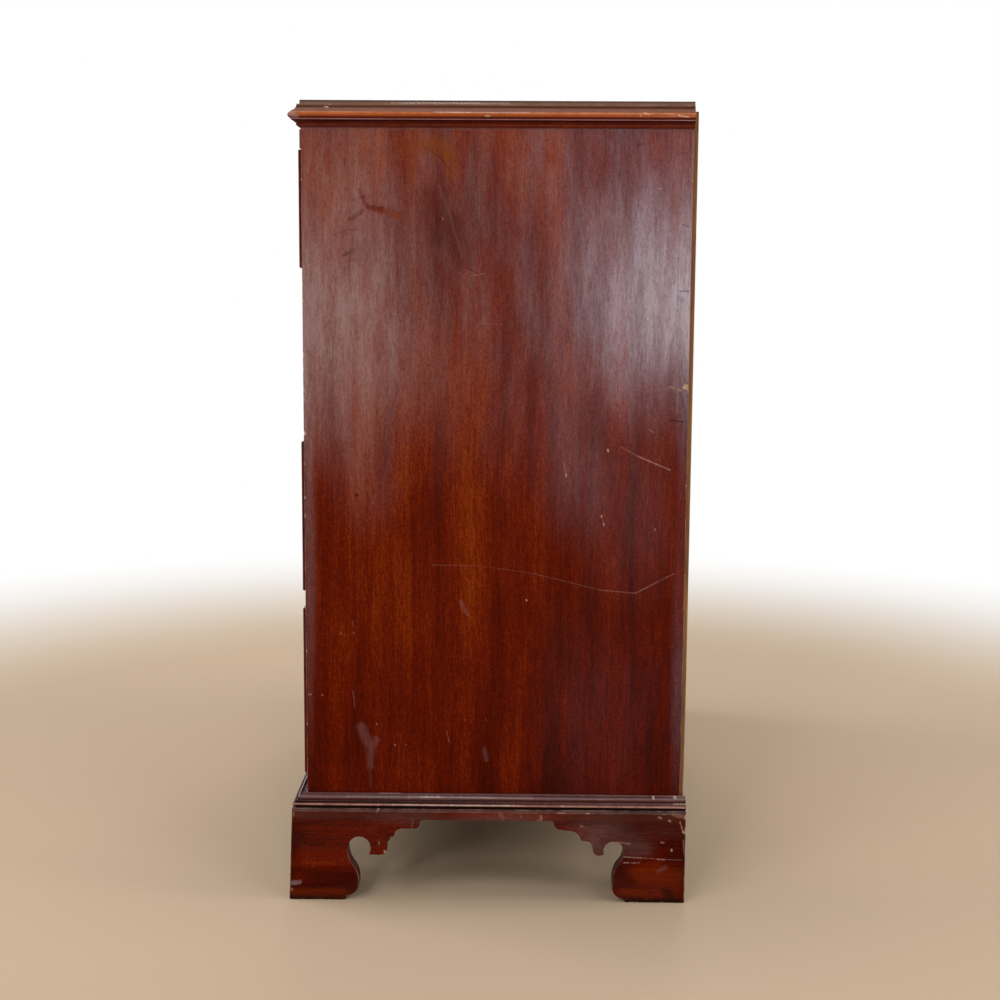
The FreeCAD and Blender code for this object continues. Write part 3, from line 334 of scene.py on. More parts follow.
polish = {"Specular IOR Level": 0.05, "Specular Tint": (1.0, 0.32, 0.14, 1), "Coat Roughness": 0.15,
          "Coat IOR": 1.45}
edgePolish = {**polish, "Specular IOR Level": 0.10, "Specular Tint": (1.0, 0.42, 0.24, 1),
              "Coat Roughness": 0.13}
sideMarks = [  # start and end on the right side as (y, z), width, kind, depth
    ((-0.0900, 0.7950), (-0.0750, 0.7975), 0.0150, "amber", 0.26),
    ((-0.0750, 0.7975), (-0.0600, 0.7990), 0.0130, "amber", 0.36),
    ((-0.0600, 0.7985), (-0.0478, 0.7950), 0.0140, "amber", 0.50),
    ((-0.0478, 0.7950), (-0.0410, 0.7860), 0.0130, "amber", 0.55),
    ((-0.0410, 0.7860), (-0.0370, 0.7700), 0.0110, "amber", 0.40),
    ((-0.0800, 0.7830), (-0.0800, 0.7600), 0.0070, "amber", 0.30),
    ((-0.0660, 0.7944), (-0.0601, 0.7918), 0.0016, "brown", 0.40),
    ((-0.0601, 0.7918), (-0.0532, 0.7865), 0.0018, "brown", 0.60),
    ((-0.0532, 0.7865), (-0.0464, 0.7799), 0.0019, "brown", 0.66),
    ((-0.0464, 0.7799), (-0.0409, 0.7732), 0.0017, "brown", 0.50),
    ((-0.0585, 0.7893), (-0.0490, 0.7805), 0.0009, "pale", 0.45),
    ((-0.0600, 0.7800), (-0.0590, 0.7600), 0.0120, "bloom", 0.07),
    ((-0.0590, 0.7600), (-0.0610, 0.7300), 0.0130, "dark", 0.12),
    ((-0.0610, 0.7350), (-0.0540, 0.7040), 0.0130, "dark", 0.16),
    ((-0.0350, 0.7200), (-0.0257, 0.6820), 0.0170, "dark", 0.36),
    ((-0.1333, 0.7519), (-0.1292, 0.7445), 0.0030, "brown", 0.42),
    ((-0.1292, 0.7445), (-0.1262, 0.7364), 0.0040, "red", 0.55),
    ((-0.1240, 0.7345), (-0.1180, 0.7334), 0.0040, "brown", 0.60),
    ((-0.1197, 0.7338), (-0.1105, 0.7325), 0.0050, "brown", 0.66),
    ((-0.1115, 0.7318), (-0.1023, 0.7288), 0.0056, "orange", 0.52),
    ((-0.1023, 0.7288), (-0.0930, 0.7265), 0.0064, "orange", 0.48),
    ((-0.0950, 0.7262), (-0.0895, 0.7232), 0.0044, "amber", 0.26),
    ((-0.1293, 0.7304), (-0.1355, 0.7269), 0.0034, "brown", 0.42),
    ((-0.1355, 0.7269), (-0.1424, 0.7215), 0.0038, "brown", 0.52),
    ((-0.1370, 0.7107), (-0.1452, 0.7120), 0.0015, "brown", 0.34),
    ((-0.1452, 0.7120), (-0.1617, 0.7052), 0.0011, "brown", 0.36),
    ((-0.1495, 0.6849), (-0.1440, 0.6890), 0.0026, "brown", 0.52),
    ((-0.1440, 0.6890), (-0.1371, 0.6917), 0.0020, "brown", 0.30),
    ((-0.0519, 0.7557), (-0.0422, 0.7315), 0.0028, "bloom", 0.08),
    ((-0.0422, 0.7315), (-0.0326, 0.7018), 0.0026, "bloom", 0.11),
    ((-0.0326, 0.7018), (-0.0277, 0.6842), 0.0024, "bloom", 0.10),
    ((-0.0484, 0.7245), (-0.0470, 0.7225), 0.0014, "bloom", 0.30),
    ((-0.0229, 0.6733), (-0.0077, 0.6666), 0.0011, "brown", 0.55),
    ((-0.0201, 0.6652), (-0.0050, 0.6680), 0.0010, "scratch", 0.30),
    ((-0.1664, 0.8060), (-0.1639, 0.7712), 0.0060, "orange", 0.30),
    ((-0.0790, 0.6700), (-0.0805, 0.6300), 0.0045, "orange", 0.40),
    ((-0.0575, 0.3636), (-0.0080, 0.3629), 0.0008, "scratch", 0.20),
    ((-0.0080, 0.3629), (0.0447, 0.3558), 0.0008, "scratch", 0.12),
    ((0.0447, 0.3558), (0.0764, 0.3486), 0.0008, "scratch", 0.20),
    ((0.0764, 0.3486), (0.1187, 0.3382), 0.0008, "scratch", 0.20),
    ((0.1187, 0.3382), (0.1560, 0.3350), 0.0009, "scratch", 0.36),
    ((0.1560, 0.3350), (0.1800, 0.3480), 0.0010, "scratch", 0.46),
    ((0.1800, 0.3480), (0.1960, 0.3560), 0.0008, "scratch", 0.40),
    ((0.1380, 0.4905), (0.1552, 0.4806), 0.0008, "scratch", 0.45),
    ((0.1552, 0.4806), (0.1899, 0.4661), 0.0012, "scratch", 0.70),
    ((0.1680, 0.5080), (0.1720, 0.5050), 0.0012, "scratch", 0.45),
    ((0.0795, 0.4720), (0.0798, 0.4695), 0.0011, "scratch", 0.70),
    ((0.0815, 0.4610), (0.0818, 0.4588), 0.0012, "chip", 0.80),
    ((0.0798, 0.4690), (0.0815, 0.4610), 0.0007, "scratch", 0.50),
    ((0.1190, 0.4175), (0.1192, 0.4165), 0.0013, "chip", 0.90),
    ((0.1216, 0.4085), (0.1219, 0.4072), 0.0014, "chip", 0.90),
    ((0.1192, 0.4165), (0.1216, 0.4085), 0.0007, "scratch", 0.50),
    ((0.1247, 0.4870), (0.1251, 0.4852), 0.0015, "chip", 0.90),
    ((0.1755, 0.4035), (0.1757, 0.4025), 0.0015, "worn", 0.60),
    ((0.0410, 0.3270), (0.0412, 0.3262), 0.0014, "chip", 0.70),
    ((-0.1373, 0.4378), (-0.1371, 0.4370), 0.0022, "dirt", 1.00),
    ((-0.1425, 0.3030), (-0.1421, 0.2945), 0.0008, "scratch", 0.30),
    ((-0.1419, 0.2905), (-0.1416, 0.2895), 0.0012, "scratch", 0.60),
    ((-0.1551, 0.2893), (-0.1550, 0.2887), 0.0013, "worn", 0.60),
    ((-0.1430, 0.2270), (-0.1420, 0.2200), 0.0009, "scratch", 0.30),
    ((-0.1420, 0.2200), (-0.1408, 0.2070), 0.0007, "scratch", 0.30),
    ((-0.1900, 0.2226), (-0.1875, 0.2222), 0.0013, "scratch", 0.65),
    ((-0.1760, 0.2220), (-0.1750, 0.2217), 0.0013, "worn", 0.50),
    ((-0.1175, 0.1910), (-0.1171, 0.1900), 0.0014, "bloom", 0.35),
    ((-0.0984, 0.1680), (-0.0980, 0.1674), 0.0013, "scratch", 0.55),
    ((-0.0866, 0.1681), (-0.0862, 0.1676), 0.0012, "worn", 0.35),
    ((-0.0428, 0.1830), (-0.0402, 0.1722), 0.0011, "scratch", 0.28),
    ((-0.0234, 0.1966), (-0.0232, 0.1960), 0.0012, "worn", 0.45),
    ((-0.0010, 0.1964), (-0.0008, 0.1958), 0.0012, "worn", 0.25),
    ((-0.0030, 0.1640), (0.0000, 0.1520), 0.0036, "bloom", 0.13),
    ((-0.0285, 0.3240), (-0.0215, 0.3110), 0.0036, "bloom", 0.14),
    ((-0.1345, 0.1870), (-0.1250, 0.1655), 0.0080, "bloom", 0.15),
    ((-0.1185, 0.1730), (-0.1240, 0.1630), 0.0060, "bloom", 0.14),
    ((-0.1240, 0.1640), (-0.1250, 0.1440), 0.0060, "bloom", 0.13),
    ((-0.1250, 0.1460), (-0.1248, 0.1230), 0.0024, "bloom", 0.06),
    ((0.1880, 0.5525), (0.1925, 0.5510), 0.0020, "scratch", 0.70),
    ((0.1960, 0.5500), (0.1990, 0.5490), 0.0018, "scratch", 0.60),
    ((0.1990, 0.5470), (0.2020, 0.5340), 0.0020, "dirt", 0.35),
    ((0.1945, 0.6300), (0.1965, 0.5250), 0.0009, "scratch", 0.35),
    ((0.1937, 0.6855), (0.1946, 0.6300), 0.0009, "dirt", 0.50),
    ((0.1965, 0.6511), (0.2050, 0.6511), 0.0012, "dirt", 0.85),
    ((0.1960, 0.6440), (0.1990, 0.6420), 0.0040, "dirt", 0.35),
    ((0.2000, 0.7232), (0.2030, 0.7225), 0.0010, "scratch", 0.35),
    ((0.2030, 0.7225), (0.2068, 0.7243), 0.0010, "scratch", 0.40),
    ((0.1985, 0.7185), (0.2035, 0.7170), 0.0014, "dirt", 0.50),
    ((0.1506, 0.7980), (0.1574, 0.7996), 0.0016, "dirt", 0.35),
    ((0.1890, 0.6275), (0.1960, 0.6225), 0.0012, "scratch", 0.45),
    ((0.1638, 0.6228), (0.1641, 0.6222), 0.0016, "chip", 0.80),
    ((0.1730, 0.7547), (0.1745, 0.7547), 0.0012, "chip", 0.60),
    ((0.2070, 0.8100), (0.2072, 0.7000), 0.0016, "scratch", 0.50),
    ((0.2070, 0.7000), (0.2072, 0.5600), 0.0014, "scratch", 0.30),
    ((0.1880, 0.5180), (0.2040, 0.5165), 0.0014, "dirt", 0.55),
    ((-0.1690, 0.6350), (-0.1685, 0.6240), 0.0016, "worn", 0.55),
    ((-0.1400, 0.6330), (-0.1398, 0.6270), 0.0018, "worn", 0.50),
    ((-0.1743, 0.6215), (-0.1705, 0.5783), 0.0011, "worn", 0.45),
    ((-0.0100, 0.6170), (0.0130, 0.6160), 0.0010, "scratch", 0.18),
]
footMarks = [  # on the right plinth board; the glint marks are painted highlights
    ((-0.2055, 0.0965), (-0.2055, 0.0930), 0.0014, "worn", 0.55),
    ((-0.1170, 0.0985), (-0.1158, 0.0995), 0.0013, "scratch", 0.70),
    ((-0.2080, 0.0186), (-0.2000, 0.0190), 0.0036, "bloom", 0.55),
    ((-0.2085, 0.0120), (-0.2080, 0.0105), 0.0020, "worn", 0.60),
    ((-0.1147, 0.0650), (-0.1143, 0.0620), 0.0010, "worn", 0.65),
    ((-0.1125, 0.0505), (-0.1090, 0.0506), 0.0013, "worn", 0.75),
    ((-0.1084, 0.0550), (-0.1080, 0.0530), 0.0016, "chip", 0.70),
    ((-0.0781, 0.0907), (-0.0788, 0.0810), 0.0010, "bloom", 0.22),
    ((0.1395, 0.0676), (0.1535, 0.0655), 0.0014, "scratch", 0.55),
    ((0.1872, 0.0674), (0.1902, 0.0672), 0.0015, "worn", 0.60),
    ((0.1983, 0.0594), (0.1984, 0.0584), 0.0017, "chip", 0.75),
    ((0.1477, 0.0510), (0.1663, 0.0500), 0.0010, "scratch", 0.85),
    ((0.1663, 0.0500), (0.1840, 0.0490), 0.0006, "scratch", 0.50),
    ((0.1840, 0.0488), (0.1915, 0.0484), 0.0014, "scratch", 0.75),
    ((0.1915, 0.0485), (0.2090, 0.0482), 0.0006, "scratch", 0.45),
    ((0.1478, 0.0446), (0.1530, 0.0446), 0.0011, "scratch", 0.75),
    ((0.1560, 0.0444), (0.1602, 0.0443), 0.0010, "worn", 0.60),
    ((0.1620, 0.0448), (0.1642, 0.0447), 0.0009, "scratch", 0.55),
    ((0.1837, 0.0355), (0.1922, 0.0398), 0.0034, "bloom", 0.12),
    ((0.1840, 0.0952), (0.1870, 0.0942), 0.0018, "scratch", 0.65),
    ((0.1953, 0.0916), (0.1960, 0.0911), 0.0017, "chip", 0.80),
    ((0.1880, 0.0986), (0.1912, 0.0984), 0.0012, "worn", 0.60),
    ((0.2000, 0.0985), (0.2120, 0.0955), 0.0034, "worn", 0.40),
    ((0.2069, 0.0900), (0.2105, 0.0790), 0.0014, "worn", 0.70),
    ((0.2102, 0.0795), (0.2112, 0.0780), 0.0018, "chip", 0.70),
    ((0.2110, 0.0700), (0.2120, 0.0560), 0.0016, "worn", 0.40),
    ((0.0150, 0.0965), (0.0185, 0.0925), 0.0034, "scratch", 0.24),
    ((0.0370, 0.0950), (0.0374, 0.0945), 0.0018, "scratch", 0.45),
    ((0.0585, 0.0955), (0.0590, 0.0915), 0.0018, "worn", 0.70),
    ((0.0558, 0.0908), (0.0590, 0.0912), 0.0016, "worn", 0.60),
    ((0.1019, 0.0848), (0.1021, 0.0840), 0.0022, "worn", 0.45),
    ((0.0760, 0.0990), (0.0840, 0.0988), 0.0009, "glint", 0.35),
    ((0.1060, 0.0990), (0.1100, 0.0988), 0.0009, "glint", 0.40),
    ((0.1140, 0.0640), (0.1200, 0.0540), 0.0140, "bloom", 0.10),
    ((0.1500, 0.0600), (0.1700, 0.0585), 0.0110, "bloom", 0.06),
    ((0.1400, 0.0330), (0.1560, 0.0250), 0.0110, "dark", 0.55),
    ((0.1640, 0.0330), (0.2040, 0.0290), 0.0150, "orange", 0.50),
    ((0.1450, 0.0120), (0.1700, 0.0110), 0.0060, "orange", 0.45),
    ((0.1930, 0.0120), (0.1995, 0.0075), 0.0070, "dirt", 0.60),
    ((0.1500, 0.0020), (0.2080, 0.0020), 0.0034, "dirt", 0.85),
    ((0.1510, 0.0032), (0.1520, 0.0032), 0.0014, "worn", 0.60),
    ((0.1715, 0.0036), (0.1735, 0.0036), 0.0012, "worn", 0.60),
    ((-0.2040, 0.0080), (-0.1560, 0.0080), 0.0080, "orange", 0.45),
    ((-0.1900, 0.0280), (-0.1440, 0.0250), 0.0110, "dark", 0.60),
    ((-0.1960, 0.0520), (-0.1600, 0.0500), 0.0100, "red", 0.45),
    ((-0.2080, 0.0005), (-0.1530, 0.0005), 0.0022, "dirt", 0.80),
]
baseGlints = [  # painted highlights on the right strip of the base moulding, some in the scratch colour
    ((-0.1500, 0.1131), (0.0500, 0.1131), 0.0009, "glint", 0.14),
    ((-0.0840, 0.1132), (0.0100, 0.1131), 0.0008, "glint", 0.34),
    ((-0.0706, 0.1132), (-0.0491, 0.1132), 0.0007, "glint", 0.75),
    ((-0.1300, 0.1063), (0.0450, 0.1062), 0.0009, "scratch", 0.55),
    ((-0.1000, 0.1063), (0.0300, 0.1062), 0.0008, "glint", 0.45),
    ((-0.0649, 0.1063), (-0.0560, 0.1063), 0.0007, "glint", 0.80),
    ((-0.0480, 0.1063), (-0.0305, 0.1062), 0.0007, "glint", 0.75),
    ((0.0069, 0.1063), (0.0120, 0.1063), 0.0007, "glint", 0.70),
    ((0.0180, 0.1063), (0.0241, 0.1062), 0.0007, "glint", 0.65),
    ((0.0808, 0.1064), (0.0816, 0.1062), 0.0009, "glint", 0.80),
    ((0.1782, 0.1136), (0.1792, 0.1136), 0.0010, "glint", 1.00),
    ((0.2005, 0.1140), (0.2030, 0.1140), 0.0008, "glint", 0.60),
    ((0.2000, 0.1085), (0.2130, 0.1085), 0.0010, "glint", 0.35),
    ((-0.1150, 0.1148), (-0.0930, 0.1149), 0.0008, "scratch", 0.60),
]
noseGlints = [  # painted highlights on the right edge of the top, with a few dark, filmy and dirty marks
    ((-0.1000, 0.8385), (0.0200, 0.8385), 0.0013, "glint", 0.25),
    ((-0.0840, 0.8387), (-0.0100, 0.8387), 0.0010, "glint", 0.60),
    ((-0.0500, 0.8287), (0.0400, 0.8287), 0.0007, "glint", 0.35),
    ((-0.0560, 0.8288), (-0.0180, 0.8288), 0.0007, "glint", 0.60),
    ((-0.0030, 0.8256), (0.0010, 0.8252), 0.0014, "dark", 0.70),
    ((0.1560, 0.8290), (0.1600, 0.8270), 0.0009, "glint", 0.60),
    ((0.1790, 0.8275), (0.1860, 0.8262), 0.0009, "scratch", 0.75),
    ((0.1900, 0.8268), (0.2000, 0.8250), 0.0012, "glint", 0.50),
    ((-0.1670, 0.8343), (-0.1640, 0.8338), 0.0012, "glint", 0.60),
    ((-0.2080, 0.8300), (-0.1960, 0.8240), 0.0050, "bloom", 0.55),
    ((0.1700, 0.8360), (0.2070, 0.8360), 0.0028, "dirt", 0.35),
]
usual = {  # what a mahogany look has unless it says otherwise
    "make": mahoganyLook, "fixed": polish, "wander": 0.012, "shift": (0, 0, 0), "stripes": 1.0, "figure": 11,
    "broadDepth": 0.75, "bandDepth": 0.58, "fibreDepth": 0.52, "fleckDepth": 0.52, "gritDepth": 0.75,
    "figureDepth": 0.45, "light": 0.0, "shade": [], "bloom": 0.4, "even": 0, "haze": [],
    "filmColour": mahogany["bloom"], "gloss": 0.33, "coat": 0.02, "bands": [], "marks": [], "facing": "x",
    "wear": 0.5, "relief": 0.22,
}
looks = {
    "sideRight": {
        "wander": 0.016, "bloom": 0.24, "marks": sideMarks, "broadDepth": 0.85,
        # painted sheen where the polish shows reflections
        "haze": [((0.172, 0.640), (0.15, 0.160), 0.66), ((0.150, 0.770), (0.20, 0.16), 0.18),
                 ((-0.160, 0.620), (0.13, 0.190), 0.64), ((-0.02, 0.61), (0.24, 0.160), 0.11),
                 ((0.092, 0.470), (0.06, 0.11), 0.14), ((-0.160, 0.780), (0.10, 0.10), 0.22),
                 ((-0.128, 0.455), (0.05, 0.08), 0.12), ((0.120, 0.200), (0.11, 0.17), 0.03),
                 ((-0.189, 0.480), (0.012, 0.38), 0.30), ((0.203, 0.600), (0.010, 0.24), 0.16),
                 ((0.150, 0.410), (0.08, 0.12), 0.06), ((0.203, 0.250), (0.012, 0.20), 0.12)],
        # painted light and shade, with lighter and darker wood
        "shade": [((-0.02, 0.80), (0.22, 0.13), 0.20), ((0.0, 0.10), (0.6, 0.36), -0.07),
                  ((-0.02, 0.53), (0.20, 0.16), 0.06), ((0.05, 0.38), (0.06, 0.12), -0.06),
                  ((0.15, 0.22), (0.12, 0.34), -0.12), ((-0.19, 0.25), (0.03, 0.30), -0.07),
                  ((0.19, 0.37), (0.03, 0.15), -0.10), ((-0.13, 0.60), (0.12, 0.20), 0.12),
                  ((-0.02, 0.64), (0.10, 0.11), 0.09), ((0.125, 0.55), (0.09, 0.11), 0.12)],
        # the film thins low down; the film and its painted sheen turn bluish towards the back
        "clear": (0.40, 0.66, 0.02), "gloss": 0.36, "cool": (0.315, 0.250, 0.305),
        # painted shade where the side meets the base moulding, and a purplish strip under the bed moulding
        "bands": [(0.1150, 0.1157, 0.0003, 0.7, mahogany["dirt"], 0.1),
                  (0.8118, 0.8144, 0.0008, 0.24, (0.190, 0.110, 0.115), 0.4)],
    },
    "sideLeft": {
        "wander": 0.016, "bloom": 0.20, "gloss": 0.34,
        # painted sheen
        "haze": [((-0.10, 0.60), (0.14, 0.30), 0.20), ((0.14, 0.42), (0.09, 0.24), 0.16)],
        "marks": [((0.02, 0.60), (0.10, 0.57), 0.0010, "scratch", 0.60),
                  ((-0.12, 0.31), (-0.04, 0.34), 0.0009, "scratch", 0.52),
                  ((-0.06, 0.745), (0.02, 0.752), 0.0030, "brown", 0.6),
                  ((0.13, 0.22), (0.131, 0.218), 0.0018, "chip", 1.00)],
        "clear": (0.25, 0.66, 0.2), "shift": (0, 0.3, 0.6),
        # painted shade where the side meets the base moulding
        "bands": [(0.1150, 0.1157, 0.0003, 0.7, mahogany["dirt"], 0.1)],
    },
    "top": {
        "bloom": 0.14, "gloss": 0.27, "figureDepth": 0.7, "light": 0.03, "shift": (0.2, 0, 0.1),
        "stripes": 0.8, "coat": 0.08, "facing": "z", "marks": [
            ((-0.210, -0.060), (-0.120, -0.052), 0.0009, "scratch", 0.35),
            ((-0.120, -0.052), (-0.050, -0.071), 0.0008, "scratch", 0.25),
            ((0.130, 0.070), (0.245, 0.102), 0.0009, "scratch", 0.40),
            ((0.020, -0.130), (0.032, -0.085), 0.0010, "scratch", 0.35),
            ((0.286, -0.110), (0.288, -0.106), 0.0024, "dirt", 0.90),
            ((-0.150, 0.110), (-0.148, 0.114), 0.0020, "dirt", 0.90),
            ((-0.300, -0.020), (-0.270, 0.010), 0.0300, "dark", 0.25)],
    },
    "nose": {
        "fixed": edgePolish, "bloom": 0.30, "even": 0.9, "filmColour": (0.205, 0.084, 0.036),
        "gloss": 0.26, "coat": 0.22, "light": -0.02, "wear": 0.30, "broadDepth": 0.4,
        "figureDepth": 0.3, "marks": noseGlints,
        # the rubbed orange nose, brighter towards its top, with a painted highlight on its top edge and
        # painted shade beneath; painted shade in the cove, a painted highlight on the fillet and a dark line
        # along the top
        "bands": [(0.8236, 0.8290, 0.0005, 0.92, (0.230, 0.036, 0.004), 0.05),
                  (0.8258, 0.8290, 0.0012, 0.70, (0.430, 0.100, 0.012), 0.35),
                  (0.8282, 0.8290, 0.0003, 0.35, (0.560, 0.240, 0.080), 0.70),
                  (0.8222, 0.8242, 0.0006, 0.85, (0.080, 0.008, 0.002), 0.1),
                  (0.8300, 0.8334, 0.0005, 0.50, (0.170, 0.070, 0.032), 0.3),
                  (0.8336, 0.8357, 0.0004, 0.70, (0.040, 0.018, 0.011), 0.15),
                  (0.8362, 0.8396, 0.0004, 0.60, (0.225, 0.148, 0.105), 0.25),
                  (0.8398, 0.8420, 0.0003, 0.75, (0.052, 0.046, 0.031), 0.2)],
    },
    "bedMoulding": {
        "fixed": edgePolish, "bloom": 0.03, "even": 0.8, "gloss": 0.24, "coat": 0.10,
        "light": -0.04, "wear": 0.05, "broadDepth": 0.3,
        # a painted highlight on the fillet, painted shade below it and in the quirk, dark red wood, and a
        # purplish strip at the foot
        "bands": [(0.8214, 0.8226, 0.0003, 0.90, (0.360, 0.165, 0.180), 0.25),
                  (0.8199, 0.8212, 0.0004, 0.85, (0.014, 0.002, 0.001), 0.05),
                  (0.8178, 0.8186, 0.0003, 0.40, (0.014, 0.003, 0.002), 0.1),
                  (0.8156, 0.8177, 0.0004, 0.50, (0.170, 0.022, 0.005), 0.70),
                  (0.8140, 0.8151, 0.0003, 0.30, (0.130, 0.062, 0.062), 0.5)],
    },
    "baseMoulding": {
        "fixed": edgePolish, "bloom": 0.26, "even": 0.95, "filmColour": (0.140, 0.088, 0.084),
        "gloss": 0.22, "coat": 0.30, "light": -0.10, "wear": 0.05, "broadDepth": 0.3,
        "relief": 0.08, "marks": baseGlints,
        # painted highlights on the top fillet and the ovolo, painted shade under the ovolo, a grey fillet,
        # the worn pink bead with its painted highlight, and painted shade in the gap below
        "bands": [(0.1143, 0.1152, 0.0002, 0.50, (0.120, 0.040, 0.040), 0.3),
                  (0.1122, 0.1138, 0.0005, 0.62, (0.150, 0.108, 0.112), 0.15),
                  (0.1098, 0.1112, 0.0005, 0.75, (0.030, 0.012, 0.012), 0.1),
                  (0.1076, 0.1092, 0.0005, 0.35, (0.085, 0.052, 0.050), 0.2),
                  (0.1052, 0.1070, 0.0004, 0.82, (0.290, 0.145, 0.105), 0.55),
                  (0.1010, 0.1046, 0.0003, 0.96, (0.006, 0.003, 0.002), 0.05)],
    },
    "plinth": {
        "bloom": 0.05, "gloss": 0.30, "light": -0.15, "wear": 0.42, "grime": (0.001, 0.010),
        "broadDepth": 1.1, "figureDepth": 1.0,
        # painted shade in the gap under the base moulding, a painted reflection on the top edge, a worn
        # arris and a brown strip below
        "bands": [(0.1012, 0.1024, 0.0003, 0.85, (0.012, 0.007, 0.006), 0.1),
                  (0.0992, 0.1010, 0.0004, 0.75, (0.080, 0.062, 0.068), 0.20),
                  (0.0982, 0.0991, 0.0003, 0.45, (0.240, 0.135, 0.105), 0.6),
                  (0.0900, 0.0980, 0.0022, 0.30, (0.085, 0.030, 0.018), 0.4)],
    },
    "front": {
        "bloom": 0.10, "gloss": 0.26, "figure": 23, "figureDepth": 0.95, "wander": 0.05, "light": 0.10,
        "stripes": 0.8, "coat": 0.16,
    },
    "bead": {"bloom": 0.12, "gloss": 0.28, "light": -0.10, "stripes": 2.0, "wear": 0.8, "coat": 0.10},
    "rail": {"bloom": 0.12, "gloss": 0.32, "light": -0.02, "stripes": 1.4, "coat": 0.08},
    "slide": {"bloom": 0.06, "gloss": 0.38, "light": 0.10, "coat": 0.08},
}
looks = {kind: {**usual, **look} for kind, look in looks.items()}
looks["plinthRight"] = {
    **looks["plinth"], "marks": footMarks,
    # painted light and shade, with lighter and darker wood
    "shade": [((-0.208, 0.055), (0.018, 0.060), -0.30), ((-0.160, 0.015), (0.060, 0.030), -0.14),
              ((-0.150, 0.030), (0.030, 0.025), -0.12), ((0.180, 0.035), (0.050, 0.050), 0.28)],
    # painted sheen
    "haze": [((0.120, 0.075), (0.05, 0.035), 0.14), ((0.160, 0.062), (0.03, 0.020), 0.10),
             ((-0.090, 0.092), (0.06, 0.012), 0.08), ((0.020, 0.092), (0.08, 0.010), 0.16)],
}


def plainLook(axis, look):  # oak and pine without polish
    def build(place, wear):
        board = place.node("Attribute", {"attribute_name": "board"}, None, "Fac")
        apart = place.node("CombineXYZ", None, {"X": board, "Y": board, "Z": board})
        wander = place.stirred(look["wander"], 2.4)
        wander = place.vectors("MULTIPLY_ADD", {0: apart, 1: (0.9, 0.7, 3.1), 2: wander})
        if "knots" in look:
            flat = wander.node("CombineXYZ", None, {"X": wander.axis("X"), "Y": wander.axis("Z") * 0.5})
            cell = {"voronoi_dimensions": "2D"}
            spread = {"Vector": flat, "Scale": look["knots"]}
            girth = wander.node("TexVoronoi", cell, spread, "Color").axis("X")
            knot = wander.node("TexVoronoi", cell, spread, "Distance") + 0.075 - girth * 0.11
            bend = (1 - knot.over(0.0, 0.30)) * 0.022
            wander = wander.vectors("ADD", {0: wander, 1: wander.node("CombineXYZ", None, {"X": bend})})
        ring = wander.drawnOut(axis, 0.035, look["rings"], 3.0, 0.55, 0.5, shift=look["shift"])
        fibre = wander.drawnOut(axis, 0.035, 420, 3.0, 0.7, shift=look["shift"])
        pore = wander.drawnOut(axis, 0.05, 900, 1.0, 0.5).over(0.58, 0.70) * look["pores"]
        tone = 0.5 + (ring - 0.5) * 1.5 + (fibre - 0.5) * 0.9 + (board - 0.5) * look["boards"]
        colour = tone.ramp([(0.15, look["dark"]), (0.5, look["middle"]), (0.85, look["pale"])])
        colour = pore.mix(colour, (*look["pore"], 1))
        stain = place.noise(9, 4.0, 0.6).over(0.50, 0.80) * look["stain"]
        colour = stain.mix(colour, (*look["soil"], 1))
        if "knots" in look:
            knot = knot + (fibre - 0.5) * 0.02
            colour = ((1 - knot.over(0.04, 0.14)) * 0.55).mix(colour, (*look["dark"], 1))
            colour = (1 - knot.over(0.040, 0.062)).mix(colour, (*look["knot"], 1))
        colour = (wear * 0.5).mix(colour, (*look["pale"], 1))
        relief = fibre * 0.6 - pore * 0.7 + ring * 0.5
        bump = place.node("Bump", None, {"Strength": 0.6, "Distance": 0.0005, "Height": relief})
        rough = look["rough"] + (fibre - 0.5) * 0.2
        return {"Base Color": colour, "Roughness": rough, "Normal": bump}
    return build


looks["oak"] = {
    "make": plainLook, "fixed": {"Specular IOR Level": 0.3}, "wander": 0.02, "shift": (0.1, 0.2, 0.3),
    "rings": 60, "pores": 0.7, "stain": 0.4, "boards": 0.2, "rough": 0.62,
    "dark": (0.17, 0.088, 0.036), "middle": (0.27, 0.155, 0.070), "pale": (0.37, 0.235, 0.118),
    "pore": (0.07, 0.033, 0.014), "soil": (0.12, 0.065, 0.030),
}
looks["backPine"] = {
    "make": plainLook, "fixed": {"Specular IOR Level": 0.25}, "wander": 0.05, "shift": (0, 0, 0),
    "rings": 75, "pores": 0.35, "stain": 0.40, "boards": 0.75, "rough": 0.72, "knots": 7.0,
    "dark": (0.150, 0.060, 0.019), "middle": (0.270, 0.128, 0.045), "pale": (0.380, 0.205, 0.082),
    "pore": (0.09, 0.040, 0.015), "soil": (0.110, 0.055, 0.022), "knot": (0.050, 0.019, 0.008),
}
looks["insidePine"] = {
    "make": plainLook, "fixed": {"Specular IOR Level": 0.2}, "wander": 0.05, "shift": (0.5, 0.1, 0.7),
    "rings": 40, "pores": 0.15, "stain": 0.7, "boards": 0.5, "rough": 0.80, "knots": 5.0,
    "dark": (0.105, 0.050, 0.020), "middle": (0.185, 0.100, 0.042), "pale": (0.270, 0.160, 0.075),
    "pore": (0.05, 0.025, 0.010), "soil": (0.060, 0.032, 0.016), "knot": (0.050, 0.019, 0.008),
}


def metalLook(look):
    def build(place, wear):
        cloud = place.noise(look["cloud"], 4.0, 0.6)
        grit = place.noise(1300, 2.0, 0.6)
        tarnish = cloud.over(0.40, 0.72) * 0.8 + grit.over(0.55, 0.75) * 0.35
        tarnish = (tarnish * look["tarnish"]).kept()
        colour = cloud.ramp([(0.3, look["deep"]), (0.7, look["bright"])])
        colour = tarnish.mix(colour, (*look["stain"], 1))
        colour = (wear * 0.6).mix(colour, (*look["bright"], 1))
        bump = place.node("Bump", None, {"Strength": 0.25, "Distance": 0.0002,
                                         "Height": grit * 0.4 + cloud * 0.6})
        return {"Base Color": colour, "Metallic": 1 - tarnish * look["dull"], "Normal": bump,
                "Roughness": look["rough"] + tarnish * 0.30 + (grit - 0.5) * 0.08}
    return build


